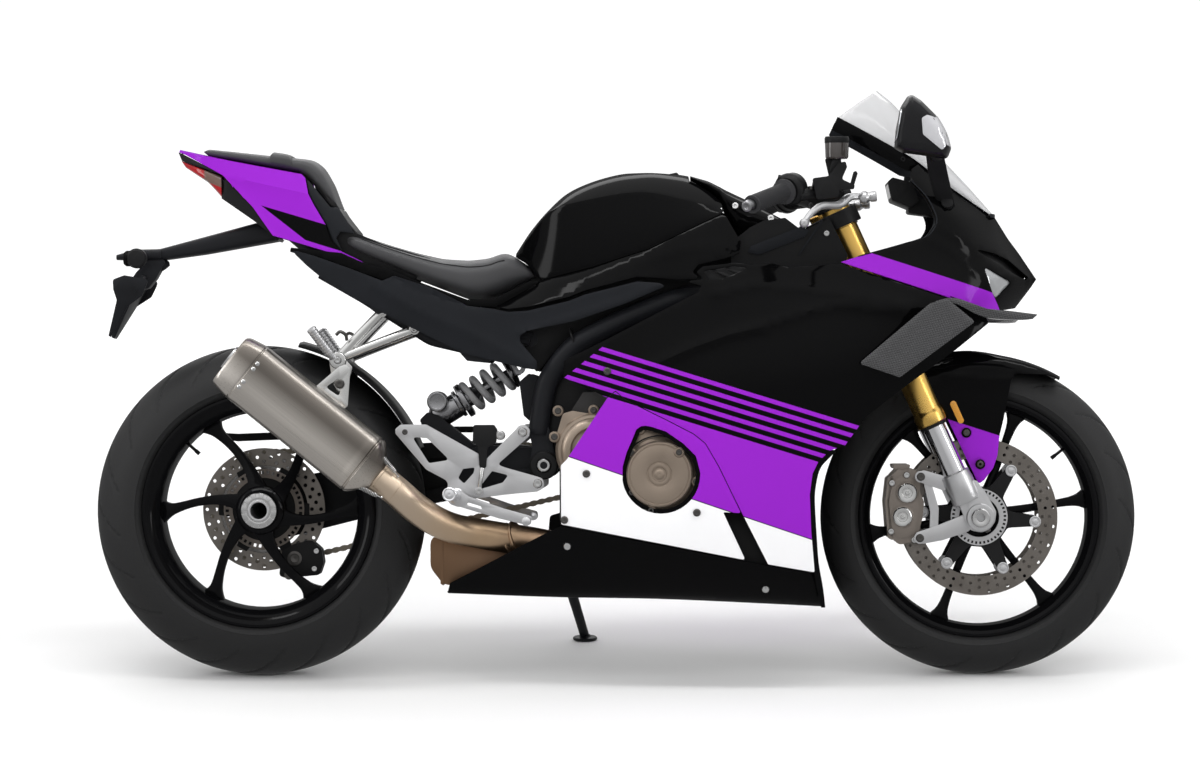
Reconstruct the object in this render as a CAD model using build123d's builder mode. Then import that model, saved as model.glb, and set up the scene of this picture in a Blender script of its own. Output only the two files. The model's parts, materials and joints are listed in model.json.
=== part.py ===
"""Sport bike with a side stand, steering, turning wheels and a hinged fuel cap.

Every piece is drawn upright: x forward from the rear axle, y to the left, z up
from the ground.  The finished bike is then leaned onto its side stand and moved
so that its origin is at the bottom centre of its bounding box.
"""
import os
from math import cos, radians, sin, tan

from build123d import *

os.makedirs("parts", exist_ok=True)

# ---------------------------------------------------------------- driving sizes
wheelbase = 1370.0
rake = 24.2  # steering axis, degrees from vertical
lean = 9.0  # parked angle on the side stand, degrees
front_radius, front_width = 300.0, 120.0
rear_radius, rear_width = 315.0, 180.0
fit = 0.05  # radial clearance of a shaft in its bore
gap = 1.5  # gap between neighbouring panels
skin = 4.0  # thickness of a moulded panel

front_crown, rear_crown = front_width / 2, rear_width / 2
# A leaning tyre rolls onto the side of its crown, which lifts its axle a little.
rear_axle_z = rear_radius - rear_crown + rear_crown / cos(radians(lean))
front_axle_z = front_radius - front_crown + front_crown / cos(radians(lean))
rear_axle = (0.0, rear_axle_z)
front_axle = (wheelbase, front_axle_z)

fork_spacing = 105.0  # each fork tube from the middle plane
fork_offset = 30.0  # fork tubes ahead of the steering axis
fork_axle_lead = 10.0  # axle ahead of the fork tubes
fork_tube_radius = 27.0
fork_rod_radius = 21.5
stem_radius = 17.5
front_axle_radius = 12.5
spindle_radius = 25.0
stand_pin_radius = 6.0
cap_pin_radius = 2.0
mirror_outer, mirror_top = 382.0, 1098.0  # the widest point on the side it leans to
lever_tip, lever_tip_radius, lever_outer = (1028.0, 846.0), 9.0, 364.0  # on the other side

steer_up = Vector(-sin(radians(rake)), 0, cos(radians(rake)))
steer_ahead = Vector(cos(radians(rake)), 0, sin(radians(rake)))


# ---------------------------------------------------------------- small helpers
def flat(plane, points):
    """A flat face with straight edges."""
    with BuildSketch(plane) as face:
        with BuildLine():
            Polyline(*points, close=True)
        make_face()
    return face.sketch


def slab(points, y_from, y_to, mode=Mode.ADD):
    """An (x, z) side outline between two lateral positions."""
    extrude(flat(Plane.XZ.offset(-y_from), points), amount=y_from - y_to, mode=mode)


def floor_slab(points, z_from, z_to, mode=Mode.ADD):
    """An (x, y) plan outline between two heights."""
    extrude(flat(Plane.XY.offset(z_from), points), amount=z_to - z_from, mode=mode)


def both_sides(half):
    """A closed plan outline from (x, half width) rows, front to back."""
    return [(x, y) for x, y in half] + [(x, -y) for x, y in reversed(half)]


def carved(side, plan, front=None):
    """A solid whose side, plan and front views are the given outlines."""
    reach = 500
    slab(side, reach, -reach)
    floor_slab(both_sides(plan), -100, 1400, mode=Mode.INTERSECT)
    if front:
        outline = [(y, z) for y, z in front] + [(-y, z) for y, z in reversed(front)]
        extrude(flat(Plane.YZ.offset(-600), outline), amount=2600, mode=Mode.INTERSECT)


def drum(centre, radius, y_from, y_to, mode=Mode.ADD):
    """A cylinder across the bike at an (x, z) centre."""
    with BuildSketch(Plane.XZ.offset(-y_from)) as circle:
        with Locations(centre):
            Circle(radius)
    extrude(circle.sketch, amount=y_from - y_to, mode=mode)


def rod(start, end, radius, mode=Mode.ADD):
    """A straight round bar between two points."""
    run = Vector(*end) - Vector(*start)
    with BuildSketch(Plane(origin=start, z_dir=run)) as circle:
        Circle(radius)
    extrude(circle.sketch, amount=run.length, mode=mode)


def bent_tube(points, radius, bend):
    """A round tube along straight runs joined by bends."""
    with BuildLine() as route:
        FilletPolyline(*points, radius=bend)
    with BuildSketch(Plane(origin=route.line @ 0, z_dir=route.line % 0)) as circle:
        Circle(radius)
    sweep(circle.sketch, path=route.line)


def turned(centre, profile, mode=Mode.ADD):
    """A (radius, y) profile revolved about a lateral axis at (x, z)."""
    x, z = centre
    face = flat(Plane((x, 0, z), x_dir=(1, 0, 0), z_dir=(0, 0, 1)), profile)
    revolve(face, axis=Axis((x, 0, z), (0, 1, 0)), mode=mode)


def from_axle(axle, *points):
    """An (x, z) outline whose points are measured from a wheel's axle."""
    return [(axle[0] + x, axle[1] + z) for x, z in points]


def banded(rows):
    """A thin wall lofted through closed (y, z) sections at rising x."""
    sections = [flat(Plane.YZ.offset(x), points) for x, points in rows]
    loft(sections=[section.faces()[0] for section in sections], ruled=True)


def steering_plane(distance):
    """A plane across the steering axis, that far above the front axle's level."""
    centre = steering_foot + steer_up * distance
    return Plane(origin=centre, x_dir=steer_ahead, z_dir=steer_up)


def fork_point(z, side):
    """The fork tube's axis at a height; side is 1 left, -1 right."""
    x = fork_foot_x - (z - front_axle_z) * tan(radians(rake))
    return (x, side * fork_spacing, z)


fork_foot_x = wheelbase - fork_axle_lead
steering_foot = Vector(fork_foot_x, 0, front_axle_z) - steer_ahead * fork_offset

# Lean the bike and bring the bottom centre of its bounding box to the origin.
lean_cos, lean_sin = cos(radians(lean)), sin(radians(lean))
reach_left = mirror_outer * lean_cos + mirror_top * lean_sin
reach_right = (lever_tip[1] - lever_tip_radius) * lean_sin - lever_outer * lean_cos
origin_shift_x = (rear_radius - wheelbase - front_radius) / 2
origin_shift_y = -(reach_left + reach_right) / 2
parked = Location((origin_shift_x, origin_shift_y, 0), (-lean, 0, 0))


def finish(piece, label):
    """Lean the finished piece with the bike and write it."""
    piece.part.label = label
    piece.part.move(parked)
    export_step(piece.part, f"parts/{label}.step")


# ---------------------------------------------------------------- wheels
flange_height = 8.0
bead_wall = 8.0


def tyre(axle, radius, width, crown, flange, seat_y):
    """A hollow tyre whose tread is one arc of the crown radius."""
    x, z = axle
    centre = radius - crown
    edge = radians(80)
    shoulder = (centre + crown * cos(edge), crown * sin(edge))
    bead = flange - flange_height
    tread_depth = 14.0
    with BuildSketch(Plane((x, 0, z), x_dir=(1, 0, 0), z_dir=(0, 0, 1))) as section:
        with BuildLine():
            ThreePointArc((shoulder[0], -shoulder[1]), (radius, 0), shoulder)
            Polyline(shoulder, (flange, seat_y), (bead, seat_y), (bead, seat_y - bead_wall),
                     (shoulder[0], seat_y - bead_wall))
            ThreePointArc((shoulder[0], seat_y - bead_wall), (radius - tread_depth, 0),
                          (shoulder[0], bead_wall - seat_y))
            Polyline((shoulder[0], bead_wall - seat_y), (bead, bead_wall - seat_y),
                     (bead, -seat_y), (flange, -seat_y), (shoulder[0], -shoulder[1]))
        make_face()
    revolve(section.sketch, axis=Axis((x, 0, z), (0, 1, 0)))


def rim(axle, flange, opening, seat_y):
    """The rim's barrel: two flanges, two bead seats and a dropped well."""
    bead = flange - flange_height
    well = opening + 8
    half = [
        # radius, y
        (flange, seat_y),
        (flange, seat_y + 7),
        (flange - 8, seat_y + 7),
        (opening + 5, seat_y - 14),
        (opening, seat_y - 34),
    ]
    inner = [(bead, seat_y), (bead, seat_y - 24), (well, seat_y - 36)]
    mirrored = [(r, -y) for r, y in half]
    turned(axle, list(reversed(inner)) + half + list(reversed(mirrored))
           + [(r, -y) for r, y in inner])


def spokes(axle, hub, opening, angles, swirl, rows, half_y):
    """Flat spokes from (radius, half width) rows; swirl turns the hub end."""
    for angle in angles:
        left, right = [], []
        for r, half in rows:
            share = (r - hub) / (opening - hub)
            turn = radians(angle - swirl * (1 - share))
            along, across = (cos(turn), sin(turn)), (-sin(turn), cos(turn))
            left.append((axle[0] + r * along[0] + half * across[0],
                         axle[1] + r * along[1] + half * across[1]))
            right.append((axle[0] + r * along[0] - half * across[0],
                          axle[1] + r * along[1] - half * across[1]))
        slab(left + list(reversed(right)), half_y, -half_y)


rear_sidewall = 93.0  # from the rim's flange to the crown of the tread
rear_rim_depth = 35.0  # from the flange in to the opening that the spokes meet
rear_seat_y = 74.0
rear_flange = rear_radius - rear_sidewall
rear_opening = rear_flange - rear_rim_depth
rear_hub_radius = 47.0
rear_hub_y = (-55.0, 46.0)
with BuildPart() as rear_rim:
    rim(rear_axle, rear_flange, rear_opening, rear_seat_y)
    spokes(rear_axle, rear_hub_radius, rear_opening, range(0, 360, 60), 20,
           # radius, half width
           [(rear_hub_radius - 6, 15), (rear_hub_radius + 33, 9),
            ((rear_hub_radius + rear_opening) / 2 + 3, 7), (rear_opening - 37, 7.5),
            (rear_opening - 17, 12), (rear_opening + 3, 26)],
           17)
    drum(rear_axle, rear_hub_radius, rear_hub_y[1], rear_hub_y[0])
    drum(rear_axle, spindle_radius + fit, 100, -100, mode=Mode.SUBTRACT)
finish(rear_rim, "rear_rim")

with BuildPart() as rear_tyre:
    tyre(rear_axle, rear_radius, rear_width, rear_crown, rear_flange, rear_seat_y)
finish(rear_tyre, "rear_tyre")

front_sidewall = 72.0
front_rim_depth = 23.0
front_seat_y = 46.0
front_flange = front_radius - front_sidewall
front_opening = front_flange - front_rim_depth
front_hub_radius = 38.0
front_hub_y = 72.0
with BuildPart() as front_rim:
    rim(front_axle, front_flange, front_opening, front_seat_y)
    spokes(front_axle, front_hub_radius, front_opening, range(9, 369, 60), 0,
           [(front_hub_radius - 6, 11), (front_hub_radius + 42, 7), (front_opening - 55, 6.5),
            (front_opening - 20, 9), (front_opening + 3, 20)], 14)
    drum(front_axle, front_hub_radius, front_hub_y, -front_hub_y)
    drum(front_axle, front_axle_radius + fit, 100, -100, mode=Mode.SUBTRACT)
finish(front_rim, "front_rim")

with BuildPart() as front_tyre:
    tyre(front_axle, front_radius, front_width, front_crown, front_flange, front_seat_y)
finish(front_tyre, "front_tyre")

# Brake discs
disc_half = 2.5
front_disc_y, front_disc_outer, front_disc_inner = 60.5, 149.0, 109.0
front_carrier_outer = 112.0
with BuildPart() as front_discs:
    for side in (1, -1):
        near, far = side * (front_disc_y - disc_half), side * (front_disc_y + disc_half)
        drum(front_axle, front_disc_outer, near, far)
        drum(front_axle, front_disc_inner - 3, near, far, mode=Mode.SUBTRACT)
        for angle in range(55, 415, 60):
            turn = radians(angle)
            start, end = [(front_axle[0] + r * cos(turn), side * front_disc_y,
                           front_axle[1] + r * sin(turn)) for r in (44, front_carrier_outer)]
            rod(start, end, 6)
        drum(front_axle, 54, side * (front_disc_y - 5), side * (front_disc_y + 5))
        drum(front_axle, front_hub_radius + fit, side * 40, side * 90, mode=Mode.SUBTRACT)
finish(front_discs, "front_discs")

rear_disc_y, rear_disc_outer = 54.0, 118.0
with BuildPart() as rear_disc:
    drum(rear_axle, rear_disc_outer, rear_disc_y - disc_half, rear_disc_y + disc_half)
    drum(rear_axle, 62, rear_disc_y - disc_half, rear_disc_y + disc_half, mode=Mode.SUBTRACT)
    drum(rear_axle, 66, rear_hub_y[1], rear_disc_y)
    drum(rear_axle, spindle_radius + fit, 0, 100, mode=Mode.SUBTRACT)
finish(rear_disc, "rear_disc")

sprocket_y, sprocket_radius, chain_width = 166.0, 100.0, 12.0
with BuildPart() as rear_sprocket:
    drum(rear_axle, sprocket_radius, sprocket_y - 3, sprocket_y + 3)
    drum(rear_axle, 44, sprocket_y - 9, sprocket_y + 3)
    for angle in range(0, 360, 60):
        hole = (rear_axle[0] + 72 * cos(radians(angle)), rear_axle[1] + 72 * sin(radians(angle)))
        drum(hole, 15, sprocket_y - 20, sprocket_y + 20, mode=Mode.SUBTRACT)
    drum(rear_axle, spindle_radius + fit, 0, 300, mode=Mode.SUBTRACT)
finish(rear_sprocket, "rear_sprocket")

wheel_nut_radius = 34.0
with BuildPart() as rear_spindle:
    drum(rear_axle, spindle_radius, rear_hub_y[0] - 1, sprocket_y + 3)
    drum(rear_axle, wheel_nut_radius, rear_hub_y[0] - fit, rear_hub_y[0] - 18)
    drum(rear_axle, 36, sprocket_y + 3 + fit, sprocket_y + 20)
    drum(rear_axle, spindle_radius, sprocket_y, sprocket_y + 10)
    drum(rear_axle, 16, -200, 300, mode=Mode.SUBTRACT)
finish(rear_spindle, "rear_spindle")

# ---------------------------------------------------------------- rear suspension
swingarm_pivot = (544.0, 403.0)
hub_boss_radius = 62.0
hub_boss_y = (63.0, 150.0)
arm_inner, arm_outer = 102.0, 150.0
with BuildPart() as swingarm:
    # the cast body across the bike, ahead of the tyre
    slab([(566, 392), (566, 416), (540, 432), (440, 440), (395, 432), (378, 405), (385, 372),
          (420, 350), (540, 374)], 104, -104)
    # the single arm on the left
    slab([(500, 432), (420, 446), (250, 440), (110, 385), (30, 372), (-40, 350), (-58, 316),
          (-40, 276), (40, 262), (200, 300), (400, 340), (500, 366)], arm_outer, arm_inner)
    drum(rear_axle, hub_boss_radius, hub_boss_y[1], hub_boss_y[0])
    drum(rear_axle, spindle_radius + fit, 0, 300, mode=Mode.SUBTRACT)
    # the shock absorber's lower bracket
    slab([(384, 420), (318, 466), (308, 488), (322, 502), (342, 496), (412, 438)], -17, -73)
    slab([(300, 440), (300, 520), (400, 520), (400, 476), (366, 448)], -27, -63, mode=Mode.SUBTRACT)
    drum(swingarm_pivot, 22, 104, -104)
    drum(swingarm_pivot, 10, 200, -200, mode=Mode.SUBTRACT)
finish(swingarm, "swingarm")

shock_y = -45.0
shock_foot, shock_top = (326.0, shock_y, 485.0), (494.0, shock_y, 588.0)


def on_shock(share):
    """A point that share of the way up the shock absorber."""
    foot = Vector(*shock_foot)
    return tuple(foot + (Vector(*shock_top) - foot) * share)


with BuildPart() as shock_absorber:
    drum((shock_foot[0], shock_foot[2]), 15, shock_y + 16, shock_y - 16)
    rod(on_shock(0.02), on_shock(0.5), 17)
    rod(on_shock(0.36), on_shock(0.42), 34)
    rod(on_shock(0.42), on_shock(0.9), 32)
    rod(on_shock(0.9), on_shock(1.0), 20)
    rod((342, shock_y - 6, 523), (342, shock_y - 58, 523), 20.5)
    slab([(322, 495), (330, 530), (352, 535), (362, 512)], shock_y + 12, shock_y - 14)
finish(shock_absorber, "shock_absorber")

# ---------------------------------------------------------------- frame
head_low, head_high = 470.0, 590.0  # along the steering axis, above the axle's level
head_radius = 32.0
beam_radius = 20.0
pivot_plate = (106.0, 132.0)
with BuildPart() as main_frame:
    for side in (1, -1):
        head = steering_foot + steer_up * 520
        bent_tube([(801, side * 146, 716), (700, side * 150, 678), (606, side * 140, 628),
                   (553, side * 126, 560), (534, side * 119, 461)], beam_radius, 45)
        rod((801, side * 146, 716), tuple(head), beam_radius)
        rod((700, side * 150, 678), (801, side * 146, 716), beam_radius)
        slab([(515, 474), (553, 474), (560, 440), (567, 403), (560, 384), (544, 378), (526, 386),
              (520, 403), (524, 440)], side * pivot_plate[0], side * pivot_plate[1])
    stem_low = steering_foot + steer_up * head_low
    stem_high = steering_foot + steer_up * head_high
    rod(tuple(stem_low), tuple(stem_high), head_radius)
    rod(tuple(stem_low - steer_up * 50), tuple(stem_high + steer_up * 50), stem_radius + fit,
        mode=Mode.SUBTRACT)
    drum(swingarm_pivot, 10 - fit, 140, -140)
finish(main_frame, "main_frame")

with BuildPart() as subframe:
    for side in (1, -1):
        bent_tube([(520, side * 92, 640), (330, side * 84, 690), (150, side * 72, 770),
                   (-8, side * 50, 903)], 13, 60)
        bent_tube([(500, side * 92, 600), (330, side * 86, 640), (200, side * 76, 722),
                   (120, side * 70, 768)], 11, 60)
    rod((330, 90, 690), (330, -90, 690), 11)
    rod((150, 76, 770), (150, -76, 770), 11)
    rod((-8, 50, 903), (-8, -50, 903), 11)
    rod((520, 92, 640), (520, -92, 640), 13)
finish(subframe, "subframe")

# ---------------------------------------------------------------- engine
engine_half = 148.0
with BuildPart() as engine_block:
    slab([(575, 300), (620, 268), (880, 262), (940, 300), (965, 400), (960, 520), (900, 545),
          (620, 540), (575, 470)], engine_half, -engine_half)
    slab([(620, 538), (900, 538), (955, 540), (965, 640), (900, 668), (840, 650), (760, 665),
          (640, 612), (600, 570)], 108, -108)
finish(engine_block, "engine_block")

clutch_centre, clutch_radius = (764.0, 386.0), 64.0
second_centre, second_radius = (640.0, 430.0), 72.0
with BuildPart() as engine_covers:
    drum(second_centre, second_radius, -engine_half, -178)
    drum(second_centre, 30, -178, -184)
    for side in (1, -1):
        drum(clutch_centre, clutch_radius + 6, side * engine_half, side * 206)
        drum(clutch_centre, clutch_radius, side * 206, side * 218)
        drum(clutch_centre, 20, side * 218, side * 222)
        slab([(700, 420), (716, 470), (740, 482), (800, 450), (826, 420)],
             side * engine_half, side * 200)
finish(engine_covers, "engine_covers")

with BuildPart() as radiator:
    slab([(1008, 330), (1036, 326), (1026, 620), (998, 624)], 185, -185)
    slab([(996, 330), (1046, 326), (1048, 352), (994, 356)], 196, -196)
    slab([(988, 596), (1034, 592), (1032, 622), (986, 626)], 196, -196)
finish(radiator, "radiator")

# ---------------------------------------------------------------- exhaust
silencer_inlet = Vector(236, -217, 383)
silencer_run = Vector(-221, 0, 177.5).normalized()  # from the inlet up to the end cap
with BuildPart() as exhaust_pipe:
    bent_tube([(640, -85, 232), (520, -85, 256), (415, -112, 274), (335, -170, 302),
               tuple(silencer_inlet - silencer_run * 48), tuple(silencer_inlet - silencer_run * fit)],
              25, 40)
    slab([(326, 200), (352, 176), (560, 176), (600, 200), (600, 236), (560, 252), (330, 250)],
         62, -56)
finish(exhaust_pipe, "exhaust_pipe")

# Silencer
silencer_half_y, silencer_half_z = 62.0, 60.0


def silencer_section(distance, share):
    """A rounded section of the silencer, scaled by share."""
    plane = Plane(origin=silencer_inlet + silencer_run * distance, x_dir=(0, -1, 0),
                  z_dir=silencer_run)
    with BuildSketch(plane) as face:
        RectangleRounded(2 * silencer_half_y * share, 2 * silencer_half_z * share, 34 * share)
    return face.sketch.faces()[0]


with BuildPart() as silencer:
    loft(sections=[silencer_section(0, 0.5), silencer_section(30, 1.0)], ruled=True)
    loft(sections=[silencer_section(30, 1.0), silencer_section(312, 1.0)], ruled=True)
    loft(sections=[silencer_section(312, 1.0), silencer_section(352, 0.86)], ruled=True)
    rod(tuple(silencer_inlet + silencer_run * 250), tuple(silencer_inlet + silencer_run * 400), 24,
        mode=Mode.SUBTRACT)
finish(silencer, "silencer")

# ---------------------------------------------------------------- foot controls
rearset_y = (150.0, 160.0)
with BuildPart() as rearset_plates:
    for side in (1, -1):
        if side < 0:
            slab([(270, 475), (281, 482), (335, 478), (422, 428), (470, 440), (500, 478), (514, 474),
                  (518, 458), (500, 425), (490, 392), (545, 380), (545, 356), (500, 354), (420, 345),
                  (386, 324), (366, 340), (366, 372), (324, 396), (270, 461)],
                 side * rearset_y[0], side * rearset_y[1])
            slab([(301, 457), (324, 455), (371, 414), (333, 412)], side * 140, side * 170,
                 mode=Mode.SUBTRACT)
        else:
            slab([(422, 428), (470, 440), (500, 478), (514, 474), (518, 458), (500, 425),
                  (490, 392), (545, 380), (545, 356), (500, 354), (420, 345), (386, 324),
                  (366, 340), (366, 372)], 176, 186)
        inner = rearset_y[0] if side < 0 else 176
        for bolt in ((506, 465), (534, 368)):
            drum(bolt, 12, side * (pivot_plate[1] + fit), side * inner)
finish(rearset_plates, "rearset_plates")

with BuildPart() as foot_controls:
    for side, plate in ((-1, 160.0), (1, 186.0)):
        drum((382, 345), 14, side * (plate + fit), side * (plate + 12))
        rod((382, side * (plate + 12), 345), (372, side * (plate + 96), 350), 11)
        slab([(386, 358), (402, 344), (522, 306), (520, 290), (388, 326), (370, 340)],
             side * (plate + 14), side * (plate + 22))
        rod((514, side * (plate + 14), 298), (514, side * (plate + 60), 298), 8)
finish(foot_controls, "foot_controls")

bracket_y = 110.0
with BuildPart() as passenger_brackets:
    for side in (1, -1):
        y = side * bracket_y
        rod((239, y, 694), (150, y, 600), 9)
        rod((300, y, 660), (150, y, 600), 9)
        drum((155, 602), 16, y - side * 10, y + side * 14)
        rod((146, y + side * 12, 606), (104, y + side * 34, 664), 9)
        rod((300, side * 98, 660), (300, y, 660), 9)
        rod((239, side * 92, 694), (239, y, 694), 9)
        slab([(140, 600), (170, 600), (181, 589), (168, 540), (156, 540), (146, 556)],
             y - 5, y + 5)
finish(passenger_brackets, "passenger_brackets")

# ---------------------------------------------------------------- seats and tail
with BuildPart() as rider_seat:
    carved([(155, 846), (185, 844), (249, 822), (300, 807), (352, 795), (401, 792), (438, 796),
            (471, 807), (483, 801), (518, 776), (520, 756), (454, 722), (425, 716), (401, 719),
            (306, 755), (249, 780), (167, 817), (155, 832)],
           [(155, 88), (220, 118), (320, 128), (400, 122), (450, 104), (490, 88), (520, 76)])
finish(rider_seat, "rider_seat")

with BuildPart() as pillion_seat:
    carved([(-105, 1003), (-95, 1006), (25, 992), (105, 984), (123, 970), (140, 939), (154, 894),
            (140, 892), (103, 941), (88, 956), (-95, 991)],
           [(-105, 34), (-60, 62), (20, 86), (100, 98), (154, 92)])
finish(pillion_seat, "pillion_seat")

tail_plan = [(-160, 18), (-120, 56), (-60, 82), (40, 106), (120, 116), (210, 118)]
with BuildPart() as tail_cowl:
    carved([(-155, 1004), (-95, 990 - gap), (86, 955 - gap), (101, 940), (130, 885), (142, 828),
            (163, 807), (206, 786), (110, 816), (49, 832), (31, 838), (-8, 894), (-66, 956),
            (-150, 987)], tail_plan)
    # the space for the subframe's rear loop
    slab([(-48, 862), (-48, 926), (16, 926), (64, 880), (220, 808), (220, 750), (60, 780)],
         88, -88, mode=Mode.SUBTRACT)
finish(tail_cowl, "tail_cowl")

with BuildPart() as tail_light:
    carved([(-149, 985), (-142, 972), (-95, 941), (-69, 912), (-68, 956 - gap)], tail_plan)
finish(tail_light, "tail_light")

with BuildPart() as undertray:
    slab([(-67, 912), (-8, 869), (36, 830), (40, 834), (-4, 874), (-64, 918)], 60, -60)
    slab([(-66, 950), (-67, 912), (-61, 916), (-60, 946)], 60, -60)
finish(undertray, "undertray")

holder_y = 34.0
with BuildPart() as plate_holder:
    slab([(-14, 860), (-193, 816), (-239, 816), (-274, 807), (-276, 795), (-177, 795), (-103, 805),
          (0, 823), (34, 824)], holder_y, -holder_y)
    slab([(-212, 796), (-180, 796), (-202, 754), (-224, 735), (-240, 760)], 20, -20)
    slab([(-222, 765), (-214, 765), (-278, 644), (-286, 647)], 90, -90)
    for side in (1, -1):
        drum((-230, 797), 19, side * 60, side * 96)
        drum((-230, 797), 6, side * holder_y, side * 60)
finish(plate_holder, "plate_holder")

# Matte side panels under the seat: plan position of the skin at each x
side_panel_rows = [
    # x, y at the top, y at the bottom
    (60, 121, 112),
    (200, 132, 122),
    (330, 140, 130),
    (450, 148, 138),
    (560, 166, 158),
    (700, 184, 180),
    (785, 186, 184),
]
with BuildPart() as seat_side_panels:
    banded([(x, [(-top, 860), (-low, 560), (skin - low, 560), (skin - top, 860)])
            for x, top, low in side_panel_rows])
    slab([(66, 814), (177, 781), (261, 758), (331, 738), (401, 703), (450, 697), (479, 691),
          (516, 693), (594, 711), (625, 723), (699, 741), (723, 747), (764, 743), (778, 739),
          (699, 708), (604, 676), (514, 657), (500, 647), (500, 635), (534, 597), (532, 582),
          (512, 584), (438, 602), (397, 612), (331, 645), (274, 674), (220, 703), (200, 711),
          (132, 752), (97, 781), (68, 806)], 300, -300, mode=Mode.INTERSECT)
    mirror(about=Plane.XZ)
finish(seat_side_panels, "seat_side_panels")

# ---------------------------------------------------------------- tank
cap_x = 752.0
bezel_low, bezel_high = 925.0, 949.0
bezel_radius, neck_radius, lid_radius = 48.0, 30.0, 38.0
pocket_radius = 58.0  # room round the bezel for the cap and its hinge
with BuildPart() as fuel_tank:
    carved([(488, 804), (518, 848), (549, 884), (584, 917), (625, 938), (678, 954), (756, 961),
            (817, 953), (820, 941), (853, 922), (878, 900), (887, 885), (881, 877), (748, 812),
            (637, 777), (539, 754), (524, 752), (522, 778)],
           [(486, 46), (520, 82), (580, 124), (660, 154), (740, 168), (820, 170), (890, 160)],
           [(76, 962), (150, 905), (172, 880), (172, 740)])
    rod((cap_x, 0, bezel_low - fit), (cap_x, 0, 1100), bezel_radius + fit, mode=Mode.SUBTRACT)
    rod((cap_x, 0, bezel_low - 22), (cap_x, 0, 1100), neck_radius, mode=Mode.SUBTRACT)
    rod((cap_x, 0, bezel_high - 1), (cap_x, 0, 1100), pocket_radius, mode=Mode.SUBTRACT)
finish(fuel_tank, "fuel_tank")

hinge = (cap_x + 45.0, bezel_high + 6.5)
with BuildPart() as filler_bezel:
    rod((cap_x, 0, bezel_low), (cap_x, 0, bezel_high), bezel_radius)
    rod((cap_x, 0, bezel_low - 1), (cap_x, 0, bezel_high + 1), neck_radius, mode=Mode.SUBTRACT)
    for side in (1, -1):
        slab([(hinge[0] - 6, bezel_high - 3), (hinge[0], bezel_high - 3), (hinge[0] + 5, hinge[1]),
              (hinge[0], hinge[1] + 5), (hinge[0] - 5, hinge[1])], side * 8, side * 13)
    drum(hinge, cap_pin_radius, 13, -13)
finish(filler_bezel, "filler_bezel")

with BuildPart() as fuel_cap:
    rod((cap_x, 0, bezel_high + 0.5), (cap_x, 0, bezel_high + 7.5), lid_radius)
    slab([(cap_x + 30, bezel_high + 1), (hinge[0], bezel_high + 2), (hinge[0] + 4.5, hinge[1]),
          (hinge[0], hinge[1] + 4.5), (cap_x + 30, bezel_high + 7.5)], 7.5, -7.5)
    drum(hinge, cap_pin_radius + fit, 20, -20, mode=Mode.SUBTRACT)
finish(fuel_cap, "fuel_cap")

# The cover ahead of the tank, with a side panel below it on each side
cover_y = (176.0, 181.0)
with BuildPart() as tank_cover:
    carved([(822, 951), (858, 940), (891, 923), (928, 907), (1000, 868), (1000, 826), (950, 812),
            (924, 812), (906, 840), (890, 876), (890, 885), (880, 903), (855, 924), (823, 943)],
           [(815, 150), (860, 140), (900, 118), (940, 98), (1005, 78)])
    for side in (1, -1):
        slab([(500, 706), (520, 742), (539, 751), (637, 774), (748, 809), (878, 872), (879, 858),
              (892, 850), (918, 822), (916, 800), (890, 790), (838, 779), (826, 764), (842, 750), (800, 750),
              (764, 752), (723, 755), (699, 749), (625, 731), (594, 719), (516, 701)],
             side * (cover_y[0]), side * (cover_y[1]))
        slab([(886, 836), (892, 848), (908, 848), (918, 830), (904, 824)], side * 110,
             side * cover_y[0])
finish(tank_cover, "tank_cover")

# ---------------------------------------------------------------- fairings
fairing_levels = (960, 800, 690, 560, 400, 250, 120)
fairing_rows = [
    # x, half width at each level
    (555, (160, 172, 186, 192, 190, 172, 120)),
    (700, (165, 190, 208, 222, 220, 196, 132)),
    (850, (170, 205, 232, 250, 240, 206, 138)),
    (1000, (185, 222, 258, 272, 250, 206, 134)),
    (1120, (196, 230, 264, 272, 240, 190, 120)),
    (1240, (180, 214, 246, 250, 220, 170, 100)),
    (1340, (140, 182, 214, 214, 190, 150, 80)),
    (1420, (78, 128, 160, 160, 140, 110, 60)),
    (1486, (20, 40, 70, 70, 60, 50, 40)),
]


def fairing_side():
    """One side's skin, from the tail of the fairing to the nose, uncut."""
    rows = []
    for x, widths in fairing_rows:
        outer = [(-w, z) for w, z in zip(widths, fairing_levels)]
        inner = [(skin - w, z) for w, z in zip(widths, fairing_levels)]
        rows.append((x, outer + list(reversed(inner))))
    banded(rows)


side_outline = [
    (580, 566), (584, 600), (666, 640), (748, 682), (838, 728), (842, 738), (812, 746),
    (846, 750), (832, 766), (846, 776), (903, 782), (944, 778), (976, 781), (1006, 773),
    (1049, 776), (1105, 779), (1309, 712), (1374, 689), (1383, 667), (1320, 617), (1226, 550),
    (1150, 492), (1111, 438), (1083, 429), (1062, 409), (1051, 386), (1046, 347), (1049, 279),
    (1056, 198), (578, 290), (578, 403), (589, 414), (666, 529),
]
vent_outline = [(850, 768), (903, 776), (934, 773), (883, 752), (858, 750)]
slot_outline = [(884, 314), (924, 303), (950, 246), (912, 254)]


def fairing_panel(label, side):
    with BuildPart() as panel:
        fairing_side()
        slab(side_outline, 0, -400, mode=Mode.INTERSECT)
        drum(clutch_centre, clutch_radius + 10, 0, -400, mode=Mode.SUBTRACT)
        slab([(706, 440), (712, 470), (736, 490), (800, 462), (826, 430)], 0, -400,
             mode=Mode.SUBTRACT)
        slab(vent_outline, 0, -400, mode=Mode.SUBTRACT)
        slab(slot_outline, 0, -400, mode=Mode.SUBTRACT)
        if side > 0:
            mirror(about=Plane.XZ, mode=Mode.REPLACE)
    finish(panel, label)


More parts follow.
